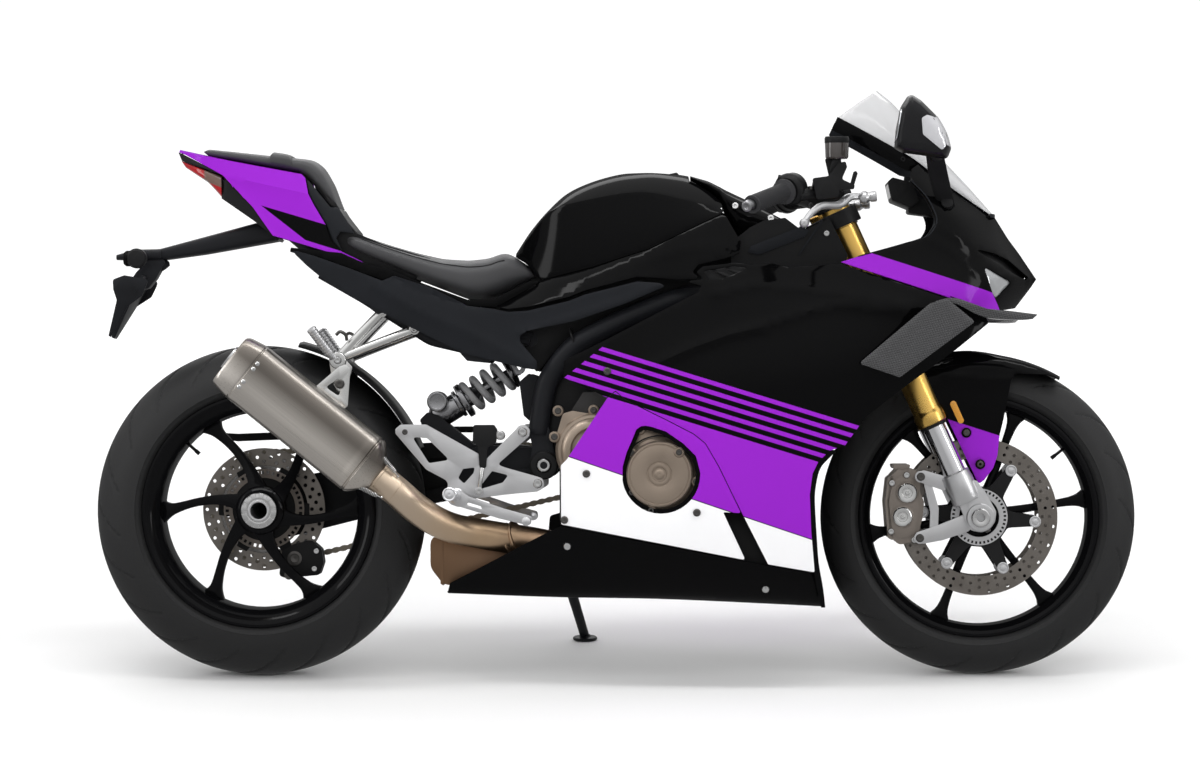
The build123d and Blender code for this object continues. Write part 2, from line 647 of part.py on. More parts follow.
fairing_panel("side_fairing_right", -1)
fairing_panel("side_fairing_left", 1)


def half_width(x, z):
    """The fairing's half width at a point, from the table of sections."""
    before = [row for row in fairing_rows if row[0] <= x][-1]
    after = [row for row in fairing_rows if row[0] >= x][0]
    share = 0 if after[0] == before[0] else (x - before[0]) / (after[0] - before[0])
    widths = [a + (b - a) * share for a, b in zip(before[1], after[1])]
    for high, low, wide_high, wide_low in zip(fairing_levels, fairing_levels[1:], widths, widths[1:]):
        if low <= z <= high:
            return wide_low + (wide_high - wide_low) * (z - low) / (high - low)
    return widths[0]


nose_rows = [
    # z, x of the foremost point
    (664, 1418),
    (697, 1443),
    (738, 1474),
    (753, 1484),
    (801, 1452),
    (870, 1406),
    (950, 1330),
]


def nose_shell():
    """The nose's skin from side to side, lofted upward through level sections."""
    sections = []
    for z, tip in nose_rows:
        stations = [900, 1000, 1120, 1240, min(1340, tip - 60)]
        half = [(x, half_width(x, z)) for x in stations]
        half += [(tip - 40, 104), (tip - 12, 60), (tip, 22)]
        inner = [(x, y - skin) for x, y in half[:-2]]
        inner += [(tip - 12 - skin, 60 - skin), (tip - skin, 22 - skin / 2)]
        outline = half + [(x, -y) for x, y in reversed(half)]
        outline += [(x, -y) for x, y in inner] + list(reversed(inner))
        sections.append(flat(Plane.XY.offset(z), outline).faces()[0])
    loft(sections=sections, ruled=True)


nose_outline = [
    (926, 812), (976, 783 + gap), (1006, 775 + gap), (1049, 778 + gap), (1105, 781 + gap),
    (1309, 714 + gap), (1376, 691), (1405, 692), (1443, 697), (1490, 738), (1490, 771),
    (1452, 806), (1430, 836), (1404, 866), (1313, 918), (1250, 943), (1238, 935), (1266, 905),
    (1283, 870), (1283, 853), (1266, 831), (1222, 816), (1136, 792), (1093, 785), (1049, 783),
    (1006, 781), (980, 788), (930, 812),
]
lens_outline = [(1374, 775), (1432, 745), (1398, 714), (1391, 725)]
lens_y = (40.0, 150.0)
with BuildPart() as upper_fairing:
    nose_shell()
    slab(nose_outline, 400, -400, mode=Mode.INTERSECT)
    for side in (1, -1):
        slab(lens_outline, side * lens_y[0], side * 400, mode=Mode.SUBTRACT)
finish(upper_fairing, "upper_fairing")

with BuildPart() as headlights:
    nose_shell()
    slab([(1377, 773), (1428, 745), (1398, 718), (1394, 726)], 0, -400, mode=Mode.INTERSECT)
    slab([(1300, 600), (1500, 600), (1500, 900), (1300, 900)], 0, -lens_y[0] - 1,
         mode=Mode.SUBTRACT)
    slab([(1300, 600), (1500, 600), (1500, 900), (1300, 900)], 0, 400, mode=Mode.SUBTRACT)
    mirror(about=Plane.XZ)
finish(headlights, "headlights")

belly_rows = [
    # x, half width at the top, middle, bottom, bottom height
    (357, 110, 96, 70, 158),
    (560, 176, 150, 96, 151),
    (765, 212, 172, 106, 148),
    (960, 214, 170, 104, 139),
    (1071, 186, 150, 90, 132),
]
with BuildPart() as belly_pan:
    rows = []
    for x, top, middle, bottom, low in belly_rows:
        outer = [(-top, 300), (-middle, low + 50), (-bottom, low), (bottom, low),
                 (middle, low + 50), (top, 300)]
        inner = [(top - skin, 300), (middle - skin, low + 52), (bottom - 2, low + skin),
                 (2 - bottom, low + skin), (skin - middle, low + 52), (skin - top, 300)]
        rows.append((x, outer + inner))
    banded(rows)
    slab([(357, 150), (357, 165), (362, 178), (429, 212), (504, 252), (567, 284),
          (576, 289 - gap), (1056, 195 - gap), (1071, 132), (1071, 120), (700, 120)],
         400, -400, mode=Mode.INTERSECT)
    # the opening for the side stand
    slab([(500, 196), (690, 196), (690, 300), (500, 300)], 400, 100, mode=Mode.SUBTRACT)
finish(belly_pan, "belly_pan")

# Wings: an end plate on each side and a blade to the nose
with BuildPart() as winglets:
    slab([(1136, 592), (1268, 701), (1352, 667), (1212, 566)], -284, -288)
    slab([(1268, 701), (1283, 708), (1320, 711), (1374, 691), (1352, 667), (1340, 660)],
         -262, -288)
    slab([(1374, 688), (1465, 684), (1468, 678), (1463, 675), (1452, 671), (1378, 672)],
         -197, -288)
    slab([(1320, 708), (1374, 688), (1378, 672), (1350, 669)], -234, -262)
    mirror(about=Plane.XZ)
finish(winglets, "winglets")

# Windscreen: arcs from edge to edge, each in its own sloping plane
screen_rows = [
    # centre x, centre z, edge x, edge z, half width
    (1402, 875, 1392, 876, 46),
    (1357, 926, 1313, 927, 112),
    (1305, 982, 1253, 970, 138),
    (1262, 1032, 1201, 1001, 136),
    (1214, 1086, 1135, 1038, 128),
    (1181, 1114, 1101, 1057, 114),
]
screen_thickness = 3.0


def screen_section(centre_x, centre_z, edge_x, edge_z, half):
    """An arched strip across the screen."""
    back = Vector(edge_x - centre_x, 0, edge_z - centre_z)
    rise = back.length
    plane = Plane(origin=(centre_x, 0, centre_z), x_dir=(0, 1, 0),
                  z_dir=Vector(0, 1, 0).cross(back.normalized()))
    with BuildSketch(plane) as strip:
        with BuildLine():
            outer = ThreePointArc((-half, rise), (0, 0), (half, rise))
            inner = ThreePointArc((half - screen_thickness, rise), (0, screen_thickness),
                                  (screen_thickness - half, rise))
            Line(outer @ 1, inner @ 0)
            Line(inner @ 1, outer @ 0)
        make_face()
    return strip.sketch.faces()[0]


with BuildPart() as windscreen:
    loft(sections=[screen_section(*row) for row in screen_rows], ruled=True)
finish(windscreen, "windscreen")

with BuildPart() as mirrors:
    slab([(1222, 1088), (1231, mirror_top), (1248, 1093), (1281, 1064), (1303, 1026), (1310, 1000),
          (1300, 982), (1283, 985), (1253, 989), (1218, 1000), (1205, 1008), (1207, 1030),
          (1213, 1064)], -252, -mirror_outer)
    rod((1286, -262, 990), (1318, -196, 902), 8)
    slab([(1300, 880), (1336, 880), (1336, 908), (1300, 916)], -186, -200)
    mirror(about=Plane.XZ)
finish(mirrors, "mirrors")

with BuildPart() as dash_display:
    slab([(1207, 905), (1198, 938), (1206, 946), (1244, 936), (1258, 900), (1240, 890)], 85, -85)
    slab([(1236, 880), (1330, 868), (1330, 892), (1244, 912)], 60, -60)
finish(dash_display, "dash_display")

# ---------------------------------------------------------------- front end
lower_yoke, upper_yoke = 425.0, 604.0  # undersides along the steering axis
yoke_thickness = 30.0
with BuildPart() as triple_clamps:
    for low in (lower_yoke, upper_yoke):
        with BuildSketch(steering_plane(low)) as yoke:
            with Locations((fork_offset, fork_spacing), (fork_offset, -fork_spacing)):
                Circle(38)
            Circle(34)
            make_hull()
        extrude(yoke.sketch, amount=yoke_thickness)
    stem_foot = steering_foot + steer_up * lower_yoke
    stem_top = steering_foot + steer_up * (upper_yoke + yoke_thickness + 12)
    rod(tuple(stem_foot), tuple(stem_top), stem_radius)
    for side in (1, -1):
        rod(fork_point(200, side), fork_point(1100, side), fork_tube_radius + fit,
            mode=Mode.SUBTRACT)
finish(triple_clamps, "triple_clamps")

fork_tube_low, fork_tube_high = 478.0, 888.0
with BuildPart() as fork_outer_tubes:
    for side in (1, -1):
        rod(fork_point(fork_tube_low, side), fork_point(fork_tube_high, side), fork_tube_radius)
        rod(fork_point(fork_tube_low, side), fork_point(fork_tube_low + 22, side), 29.5)
finish(fork_outer_tubes, "fork_outer_tubes")

fork_foot_top = 386.0
with BuildPart() as fork_inner_tubes:
    for side in (1, -1):
        rod(fork_point(fork_foot_top + 0.1, side), fork_point(fork_tube_low - 0.1, side),
            fork_rod_radius)
finish(fork_inner_tubes, "fork_inner_tubes")

foot_y = (84.0, 124.0)
with BuildPart() as fork_bottoms:
    for side in (1, -1):
        rod(fork_point(334, side), fork_point(fork_foot_top, side), 28)
        drum(front_axle, 27, side * foot_y[0], side * foot_y[1])
        slab(from_axle(front_axle,
                       (-52, 49.252), (-6, 69.252), (28, 11.252), (20, -18.748), (-18, -22.748)),
             side * 88, side * 120)
        slab(from_axle(front_axle,
                       (-40, 75.252), (-44, 51.252), (-70, 51.252), (-112, 67.252),
                       (-118, 81.252), (-108, 89.252)),
             side * 88, side * 104)
        slab(from_axle(front_axle,
                       (-8, 17.252), (-18, -24.748), (-108, -48.748), (-124, -42.748),
                       (-120, -28.748), (-40, -0.748)),
             side * 88, side * 104)
        rod(fork_point(fork_foot_top, side), fork_point(500, side), 24, mode=Mode.SUBTRACT)
    drum(front_axle, front_axle_radius + fit, 200, -200, mode=Mode.SUBTRACT)
finish(fork_bottoms, "fork_bottoms")

with BuildPart() as front_spindle:
    drum(front_axle, front_axle_radius, 130, -130)
    drum(front_axle, 18, 124 + fit, 134)
    drum(front_axle, 18, -124 - fit, -134)
    drum(front_axle, 8, 200, -200, mode=Mode.SUBTRACT)
finish(front_spindle, "front_spindle")

with BuildPart() as front_calipers:
    for side in (1, -1):
        slab(from_axle(front_axle,
                       (-152, 97.252), (-118, 91.252), (-114, 59.252), (-108, -0.748),
                       (-122, -46.748), (-154, -52.748), (-178, -32.748), (-184, 29.252),
                       (-174, 79.252)),
             side * 40, side * 87.5)
        slab(from_axle(front_axle,
                       (-220, 119.252), (-70, 119.252), (-70, -70.748), (-220, -70.748)),
             side * (front_disc_y - 7.5), side * (front_disc_y + 7.5), mode=Mode.SUBTRACT)
        slab(from_axle(front_axle,
                       (-165, 101.252), (-130, 101.252), (-134, 93.252), (-162, 93.252)),
             side * 40, side * 87.5)
finish(front_calipers, "front_calipers")

fender_from, fender_to = 58.0, 122.0
with BuildPart() as front_fender:
    arch = [(282, -75), (304, -70), (315, -46), (319, 0), (315, 46), (304, 70), (282, 75),
            (282, 71), (300, 66), (311, 44), (315, 0), (311, -44), (300, -66), (282, -71)]
    start = Plane((front_axle[0], 0, front_axle[1]),
                  x_dir=(cos(radians(fender_from)), 0, sin(radians(fender_from))),
                  z_dir=(-sin(radians(fender_from)), 0, cos(radians(fender_from))))
    axis = Axis((front_axle[0], 0, front_axle[1]), (0, -1, 0))
    revolve(flat(start, arch), axis=axis, revolution_arc=fender_to - fender_from)
    for side in (1, -1):
        slab(from_axle(front_axle,
                       (70, 289.252), (62, 261.252), (47, 187.252), (39, 154.252), (35, 117.252),
                       (27, 92.252), (10, 68.252), (0, 63.252), (-60, 187.252), (-108, 255.252),
                       (-80, 289.252)),
             side * 71, side * 75)
finish(front_fender, "front_fender")

bar_inner, bar_outer = (1015, 205, 921), (932, 345, 884)


def bar_knee(side):
    """Where a handlebar leaves its clamp on the fork tube."""
    clamp = Vector(*fork_point(fork_tube_high - 2, side)) + steer_up * 17
    return clamp + Vector(-22, side * 32, 4)


with BuildPart() as handlebars:
    for side in (1, -1):
        clamp = Vector(*fork_point(fork_tube_high - 2, side))
        rod(tuple(clamp), tuple(clamp + steer_up * 34), 36)
        rod(tuple(clamp - steer_up * 1), tuple(clamp + steer_up * 60), fork_tube_radius + fit,
            mode=Mode.SUBTRACT)
    for side in (1, -1):
        inner = Vector(bar_inner[0], side * bar_inner[1], bar_inner[2])
        outer = Vector(bar_outer[0], side * bar_outer[1], bar_outer[2])
        rod(tuple(bar_knee(side)), tuple(inner), 13)
        rod(tuple(inner), tuple(outer), 11)
        rod(tuple(outer - (outer - inner) * 0.05), tuple(outer + (outer - inner) * 0.08), 13)
finish(handlebars, "handlebars")

with BuildPart() as grips:
    for side in (1, -1):
        inner = Vector(bar_inner[0], side * bar_inner[1], bar_inner[2])
        outer = Vector(bar_outer[0], side * bar_outer[1], bar_outer[2])
        run = outer - inner
        rod(tuple(inner + run * 0.18), tuple(inner + run * 0.94), 17)
        rod(tuple(inner), tuple(outer), 11 + fit, mode=Mode.SUBTRACT)
finish(grips, "grips")

with BuildPart() as hand_controls:
    for side in (1, -1):
        inner = Vector(bar_inner[0], side * bar_inner[1], bar_inner[2])
        outer = Vector(bar_outer[0], side * bar_outer[1], bar_outer[2])
        run = outer - inner
        knee = bar_knee(side)
        rod(tuple(inner - run * 0.02), tuple(inner + run * 0.16), 26)
        rod((1026, side * 222, 908), (1122, side * 172, 912), 11)
        rod((1050, side * 211, 904), (1052, side * 250, 880), 8)
        rod((1052, side * 250, 880), (1030, side * 348, 848), 7)
        drum(lever_tip, lever_tip_radius, side * 346, side * lever_outer)
        rod(tuple(inner - run * 0.3), tuple(outer), 13 + fit, mode=Mode.SUBTRACT)
        rod(tuple(knee), tuple(inner + (inner - knee) * 0.1), 13 + fit, mode=Mode.SUBTRACT)
    rod((1098, -221, 971), (1098, -221, 1017), 23)
    rod((1098, -217, 974), (1104, -181, 912), 7)
finish(hand_controls, "hand_controls")

# ---------------------------------------------------------------- rear details
with BuildPart() as rear_hugger:
    arch = [(326, -96), (330, -60), (332, 0), (330, 60), (326, 96), (322, 95), (326, 58),
            (328, 0), (326, -58), (322, -95)]
    start_angle, end_angle = 24.0, 76.0
    start = Plane((rear_axle[0], 0, rear_axle[1]),
                  x_dir=(cos(radians(start_angle)), 0, sin(radians(start_angle))),
                  z_dir=(-sin(radians(start_angle)), 0, cos(radians(start_angle))))
    axis = Axis((rear_axle[0], 0, rear_axle[1]), (0, -1, 0))
    revolve(flat(start, arch), axis=axis, revolution_arc=end_angle - start_angle)
finish(rear_hugger, "rear_hugger")

front_sprocket = (600.0, 392.0)
front_sprocket_radius = 38.0
chain_clear, chain_depth = 3.0, 13.0
with BuildPart() as chain:
    loop_plane = Plane.XZ.offset(-(sprocket_y + chain_width / 2))
    for grow, mode in ((chain_clear + chain_depth, Mode.ADD), (chain_clear, Mode.SUBTRACT)):
        with BuildSketch(loop_plane) as loop:
            with Locations(rear_axle):
                Circle(sprocket_radius + grow)
            with Locations(front_sprocket):
                Circle(front_sprocket_radius + grow)
            make_hull()
        extrude(loop.sketch, amount=chain_width if mode == Mode.ADD else chain_width + 1, mode=mode)
finish(chain, "chain")

with BuildPart() as chain_guard:
    slab([(-98, 452), (-60, 446), (300, 462), (400, 462), (400, 474), (300, 474), (-60, 460),
          (-96, 462)], 176, 156)
    slab([(180, 438), (220, 438), (220, 470), (180, 466)], 126, 158)
finish(chain_guard, "chain_guard")

with BuildPart() as rear_caliper:
    slab(from_axle(rear_axle,
                   (30, -130.122), (108, -126.122), (114, -76.122), (92, -60.122),
                   (36, -78.122)),
         rear_disc_y - 22,
         rear_disc_y + 34)
    slab(from_axle(rear_axle,
                   (0, -123.122), (140, -123.122), (140, -16.122), (0, -16.122)),
         rear_disc_y - 7.5, rear_disc_y + 7.5, mode=Mode.SUBTRACT)
finish(rear_caliper, "rear_caliper")

# ---------------------------------------------------------------- side stand
stand_pivot = Vector(560, 180, 236)
stand_reach = 318.0  # foot from the middle plane
stand_foot = Vector(612, stand_reach, stand_reach * tan(radians(lean)))
stand_tilt = 38.7  # hinge pin above level, so that the leg folds flat
stand_axis = Vector(0, cos(radians(stand_tilt)), sin(radians(stand_tilt)))
ground_up = Vector(0, -sin(radians(lean)), cos(radians(lean)))
stand_eye_radius, stand_leg_radius, foot_radius, foot_thick = 20.0, 10.0, 24.0, 6.0
with BuildPart() as stand_bracket:
    slab([(540, 214), (580, 214), (600, 262), (620, 280), (585, 310), (548, 300)], 149, 157)
    rod(tuple(stand_pivot - stand_axis * 30), tuple(stand_pivot - stand_axis * 9), 15)
    rod(tuple(stand_pivot - stand_axis * 20), tuple(stand_pivot + stand_axis * 12), stand_pin_radius)
    slab([(500, 190), (660, 190), (660, 330), (500, 330)], 149, 100, mode=Mode.SUBTRACT)
finish(stand_bracket, "stand_bracket")

with BuildPart() as side_stand:
    leg = stand_foot + ground_up * foot_thick - stand_pivot
    rod(tuple(stand_pivot - stand_axis * 8.5), tuple(stand_pivot + stand_axis * 8.5),
        stand_eye_radius)
    rod(tuple(stand_pivot + leg * 0.07), tuple(stand_pivot + leg), stand_leg_radius)
    rod(tuple(stand_foot), tuple(stand_foot + ground_up * foot_thick), foot_radius)
    rod(tuple(stand_pivot - stand_axis * 60), tuple(stand_pivot + stand_axis * 60),
        stand_pin_radius + fit, mode=Mode.SUBTRACT)
finish(side_stand, "side_stand")
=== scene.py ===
import json
from math import acos, asin, atan2, copysign, cos, degrees, hypot, pi, radians, sin, tan

import bmesh
import bpy
import numpy as np
from mathutils import Matrix, Vector
from mathutils.bvhtree import BVHTree
from mathutils.geometry import delaunay_2d_cdt


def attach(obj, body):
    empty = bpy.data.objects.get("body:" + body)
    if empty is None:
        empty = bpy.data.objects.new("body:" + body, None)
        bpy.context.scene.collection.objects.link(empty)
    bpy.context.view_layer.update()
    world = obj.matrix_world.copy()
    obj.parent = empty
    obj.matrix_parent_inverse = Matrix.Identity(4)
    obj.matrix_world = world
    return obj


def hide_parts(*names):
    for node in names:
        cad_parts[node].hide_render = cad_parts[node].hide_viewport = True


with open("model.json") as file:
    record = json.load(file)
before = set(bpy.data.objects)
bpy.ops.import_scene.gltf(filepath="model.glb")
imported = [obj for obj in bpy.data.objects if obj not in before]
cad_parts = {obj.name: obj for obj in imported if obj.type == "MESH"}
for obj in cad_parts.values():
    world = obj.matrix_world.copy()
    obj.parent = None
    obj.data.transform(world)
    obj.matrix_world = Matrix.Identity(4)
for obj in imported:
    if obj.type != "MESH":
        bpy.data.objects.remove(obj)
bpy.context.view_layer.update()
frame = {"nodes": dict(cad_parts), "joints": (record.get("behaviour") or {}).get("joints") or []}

mm = 0.001

# Bike frame: x forward from the rear axle, y to the rider's left, z up from the ground, in mm.
# The bike leans on its stand, so one matrix takes that upright frame to where it is parked.
jointOf = {j["name"]: j for j in frame["joints"]}
axleAxis = Vector(jointOf["rear_wheel_spin"]["axis"])
upAxis = Vector((1, 0, 0)).cross(axleAxis)
rearSpin = Vector(jointOf["rear_wheel_spin"]["pos_m"])
bikeOrigin = rearSpin - upAxis * (rearSpin.z / upAxis.z)
bike = Matrix((Vector((1, 0, 0)), axleAxis, upAxis)).transposed().to_4x4()
bike.translation = bikeOrigin
toBike = bike.inverted()
rearAxle = toBike @ rearSpin / mm
frontAxle = toBike @ Vector(jointOf["front_wheel_spin"]["pos_m"]) / mm
rear, front = (rearAxle.x, rearAxle.z), (frontAxle.x, frontAxle.z)
rake = 0.42237  # radians that the fork leans back
forkBehind = 10  # how far behind the front axle the forks' line passes
lean = radians(9)


class Wire:  # a shader socket that takes part in Python expressions
    def __init__(self, finish, socket):
        self.finish, self.socket = finish, socket

    def math(self, operation, *values):
        return self.finish.node("ShaderNodeMath", {"operation": operation}, *values)

    def __add__(self, other):
        return self.math("ADD", self, other)

    def __sub__(self, other):
        return self.math("SUBTRACT", self, other)

    def __rsub__(self, other):
        return self.math("SUBTRACT", other, self)

    def __mul__(self, other):
        return self.math("MULTIPLY", self, other)

    def __truediv__(self, other):
        return self.math("DIVIDE", self, other)

    def __pow__(self, other):
        return self.math("POWER", self, other)

    __radd__ = __add__
    __rmul__ = __mul__

    def abs(self):
        return self.math("ABSOLUTE", self)

    def over(self, limit, soft=1.0):  # 0 below the limit, 1 above it, with a soft edge that wide
        return self.finish.node("ShaderNodeMapRange", {}, self, limit - soft / 2, limit + soft / 2, 0, 1)

    def under(self, limit, soft=1.0):
        return 1 - self.over(limit, soft)

    def wave(self, pitch):  # 0..1 saw
        return self.math("FRACT", self / pitch)


class Finish:
    def __init__(self, name, color=(0.5, 0.5, 0.5), rough=0.5, metal=0.0, **fixed):
        self.material = bpy.data.materials.new(name)
        self.material.use_nodes = True
        self.tree = self.material.node_tree
        self.shader = self.tree.nodes["Principled BSDF"]
        self.material.diffuse_color = (*color, 1)
        self.set(base_color=color, roughness=rough, metallic=metal, **fixed)

    def set(self, **values):
        for key, value in values.items():
            self.plug(self.shader.inputs[key.replace("_", " ").title().replace("Ior", "IOR")], value)
        return self

    def plug(self, socket, value):
        if isinstance(value, Wire):
            self.tree.links.new(value.socket, socket)
        elif isinstance(value, (tuple, list, Vector)) and socket.type == "RGBA":
            socket.default_value = (*value[:3], 1)
        else:
            socket.default_value = value

    def node(self, kind, settings, *values, out=0, **named):
        made = self.tree.nodes.new(kind)
        for key, value in settings.items():
            setattr(made, key, value)
        for socket, value in zip([s for s in made.inputs if s.enabled], values):
            self.plug(socket, value)
        for key, value in named.items():
            self.plug(made.inputs[key], value)
        return Wire(self, made.outputs[out])

    def where(self):  # the point in the bike frame, in mm
        spot = self.node("ShaderNodeTexCoord", {}, out="Object")
        parts = self.tree.nodes.new("ShaderNodeSeparateXYZ")
        self.plug(parts.inputs[0], spot)
        return [Wire(self, s) * 1000 for s in parts.outputs]

    def noise(self, scale, detail=3.0):
        spot = self.node("ShaderNodeTexCoord", {}, out="Object")
        return self.node("ShaderNodeTexNoise", {}, Vector=spot, Scale=scale, Detail=detail)

    def mix(self, share, a, b):
        return self.node("ShaderNodeMix", {"data_type": "RGBA"}, share, a, b, out=2)

    def bump(self, height, strength=0.3, distance=0.001):
        self.set(normal=self.node("ShaderNodeBump", {}, Strength=strength, Distance=distance, Height=height))
        return self


# Every shape below is (points in mm, faces).


def hermite(nodes, wanted):  # rows of weights that pass a smooth curve through values at the nodes
    nodes, wanted = np.asarray(nodes, float), np.asarray(wanted, float)
    wanted, count = np.clip(wanted, nodes[0], nodes[-1]), len(nodes)
    slope = np.zeros((count, count))
    for i in range(count):
        a, b = max(i - 1, 0), min(i + 1, count - 1)
        slope[i, b] += 1 / (nodes[b] - nodes[a])
        slope[i, a] -= 1 / (nodes[b] - nodes[a])
    k = np.clip(np.searchsorted(nodes, wanted, side="right") - 1, 0, count - 2)
    h = nodes[k + 1] - nodes[k]
    t = (wanted - nodes[k]) / h
    found, rows = np.zeros((len(wanted), count)), np.arange(len(wanted))
    found[rows, k] += 2 * t**3 - 3 * t**2 + 1
    found[rows, k + 1] += 3 * t**2 - 2 * t**3
    found += ((t**3 - 2 * t**2 + t) * h)[:, None] * slope[k] + ((t**3 - t**2) * h)[:, None] * slope[k + 1]
    return found


def smooth(points, count):  # a smooth line through points, evenly spread
    points = np.asarray(points, float)
    run = np.r_[0, np.cumsum(np.linalg.norm(np.diff(points, axis=0), axis=1))]
    return hermite(run, np.linspace(0, run[-1], count)) @ points


def rounded(points, radius, steps=4):  # a closed outline with its corners rounded
    made, count = [], len(points)
    radii = radius if isinstance(radius, (list, tuple)) else [radius] * count
    for i in range(count):
        p, a, b = (Vector(points[j % count]) for j in (i, i - 1, i + 1))
        ta, tb = (a - p).normalized(), (b - p).normalized()
        half = ta.angle(tb, pi) / 2
        if radii[i] <= 0 or half > pi / 2 - 0.03:
            made.append(tuple(p))
            continue
        cut = min(radii[i] / tan(half), (a - p).length * 0.48, (b - p).length * 0.48)
        start, end = p + ta * cut, p + tb * cut
        for s in range(steps + 1):
            t = s / steps
            made.append(tuple(start * (1 - t) ** 2 + p * 2 * t * (1 - t) + end * t**2))
    return made


def joined(*shapes):
    points, faces = [], []
    for shape in shapes:
        base = len(points)
        points += [tuple(p) for p in shape[0]]
        faces += [tuple(i + base for i in f) for f in shape[1]]
    return points, faces


def flipped(shape):
    return [(x, -y, z) for x, y, z in shape[0]], [tuple(reversed(f)) for f in shape[1]]


def pair(shape):  # the shape and its mirror image on the other side
    return joined(shape, flipped(shape))


def moved(shape, matrix):
    return [tuple(matrix @ Vector(p)) for p in shape[0]], shape[1]


def grid(rows, closedU=False, closedV=False, caps=False):  # faces over rows of points
    m, n = len(rows), len(rows[0])
    points = [tuple(p) for row in rows for p in row]
    faces = []
    for i in range(m if closedU else m - 1):
        for j in range(n if closedV else n - 1):
            a, b, c, d = ((i + s) % m * n + (j + t) % n for s, t in ((0, 0), (0, 1), (1, 1), (1, 0)))
            faces.append((a, b, c, d))
    if caps:
        faces += [tuple(reversed(range(n))), tuple((m - 1) * n + j for j in range(n))]
    return points, faces


def lathe(centre, profile, steps=96):  # (radius, y) rows turned about the lateral axis
    rows = []
    for a in (2 * pi * s / steps for s in range(steps)):
        rows.append([(centre[0] + r * cos(a), y, centre[1] + r * sin(a)) for r, y in profile])
    return grid(rows, closedU=True, closedV=True)


def turnedOn(origin, direction, profile, steps=32):  # (radius, height) turned about any axis
    turn = Vector((0, 1, 0)).rotation_difference(Vector(direction)).to_matrix().to_4x4()
    turn.translation = Vector(origin)
    return moved(lathe((0, 0), profile, steps), turn)


def tube(points, radii, sides=16, steps=24, flat=1.0):  # a smooth pipe; flat squeezes its section
    points = [Vector(p) for p in smooth(points, steps)] if len(points) > 2 else [
        Vector(points[0]).lerp(Vector(points[1]), i / max(1, steps - 1)) for i in range(steps)]
    radii = [radii, radii] if isinstance(radii, (int, float)) else radii
    sizes = np.interp(np.linspace(0, 1, steps), np.linspace(0, 1, len(radii)), radii)
    side, rows = None, []
    for i, p in enumerate(points):
        ahead = (points[min(i + 1, steps - 1)] - points[max(i - 1, 0)]).normalized()
        side = ahead.orthogonal() if side is None else side
        side = (side - ahead * side.dot(ahead)).normalized()
        other = ahead.cross(side)
        rows.append([p + (side * cos(a) + other * sin(a) * flat) * sizes[i]
                     for a in (2 * pi * k / sides for k in range(sides))])
    return grid(rows, closedV=True, caps=True)


def insideOf(loop, points):
    loop, found = np.asarray(loop), np.zeros(len(points), bool)
    for (x0, z0), (x1, z1) in zip(loop, np.roll(loop, -1, axis=0)):
        if z0 == z1:
            continue
        crosses = (points[:, 1] > min(z0, z1)) & (points[:, 1] <= max(z0, z1))
        found ^= crosses & (points[:, 0] < x0 + (points[:, 1] - z0) * (x1 - x0) / (z1 - z0))
    return found


def dense(loop, spacing, closed=True):
    made, count = [], len(loop)
    for i in range(count if closed else count - 1):
        a, b = Vector(loop[i]), Vector(loop[(i + 1) % count])
        parts = max(1, round((b - a).length / spacing))
        made += [tuple(a.lerp(b, k / parts)) for k in range(parts)]
    return made if closed else made + [tuple(loop[-1])]


def meshed(outline, spacing=9.0, holes=(), lines=()):  # an outline filled with even triangles
    loops = [dense(outline, spacing)] + [dense(h, spacing) for h in holes]
    points, edges = [], []
    for loop in loops:
        base = len(points)
        edges += [(base + i, base + (i + 1) % len(loop)) for i in range(len(loop))]
        points += loop
    for line in lines:
        run = dense(line, spacing, closed=False)
        base = len(points)
        edges += [(base + i, base + i + 1) for i in range(len(run) - 1)]
        points += run
    fixed = np.array(points)
    low, high = fixed.min(0), fixed.max(0)
    xs = np.arange(low[0], high[0], spacing)
    fill = np.array([(x + (j % 2) * spacing / 2, z) for j, z in
                     enumerate(np.arange(low[1], high[1], spacing * 0.87)) for x in xs])
    keep = insideOf(loops[0], fill)
    for loop in loops[1:]:
        keep &= ~insideOf(loop, fill)
    fill = fill[keep]
    if len(fill):
        gaps = np.min(np.linalg.norm(fill[:, None] - fixed[None], axis=2), axis=1)
        fill = fill[gaps > spacing * 0.6]
    allPoints = [Vector(p) for p in points] + [Vector(p) for p in fill]
    verts, _, faces, *_ = delaunay_2d_cdt(allPoints, edges, [], 0, 1e-5)
    verts = np.array([tuple(v) for v in verts])
    middles = np.array([verts[list(f)].mean(0) for f in faces])
    keep = insideOf(loops[0], middles)
    for loop in loops[1:]:
        keep &= ~insideOf(loop, middles)
    faces = [tuple(f) for f, k in zip(faces, keep) if k]
    used = sorted({i for f in faces for i in f})
    index = {v: i for i, v in enumerate(used)}
    return verts[used], [tuple(index[i] for i in f) for f in faces]


def facing(points, faces, direction):  # faces turned to look mostly that way
    points = np.asarray(points)
    total = np.zeros(3)
    for f in faces:
        a, b, c = points[f[0]], points[f[1]], points[f[2]]
        total += np.cross(b - a, c - a)
    if total @ np.asarray(direction, float) < 0:
        faces = [tuple(reversed(f)) for f in faces]
    return [tuple(p) for p in points], faces


def ridge(points, line, lift, reach):  # how much a crease along a line lifts the surface there
    points, best = np.asarray(points), np.full(len(points), 1e9)
    for a, b in zip(line, line[1:]):
        a, b = np.array(a, float), np.array(b, float)
        t = np.clip((points - a) @ (b - a) / ((b - a) @ (b - a)), 0, 1)
        best = np.minimum(best, np.linalg.norm(points - (a + t[:, None] * (b - a)), axis=1))
    return lift * np.exp(-best / reach)


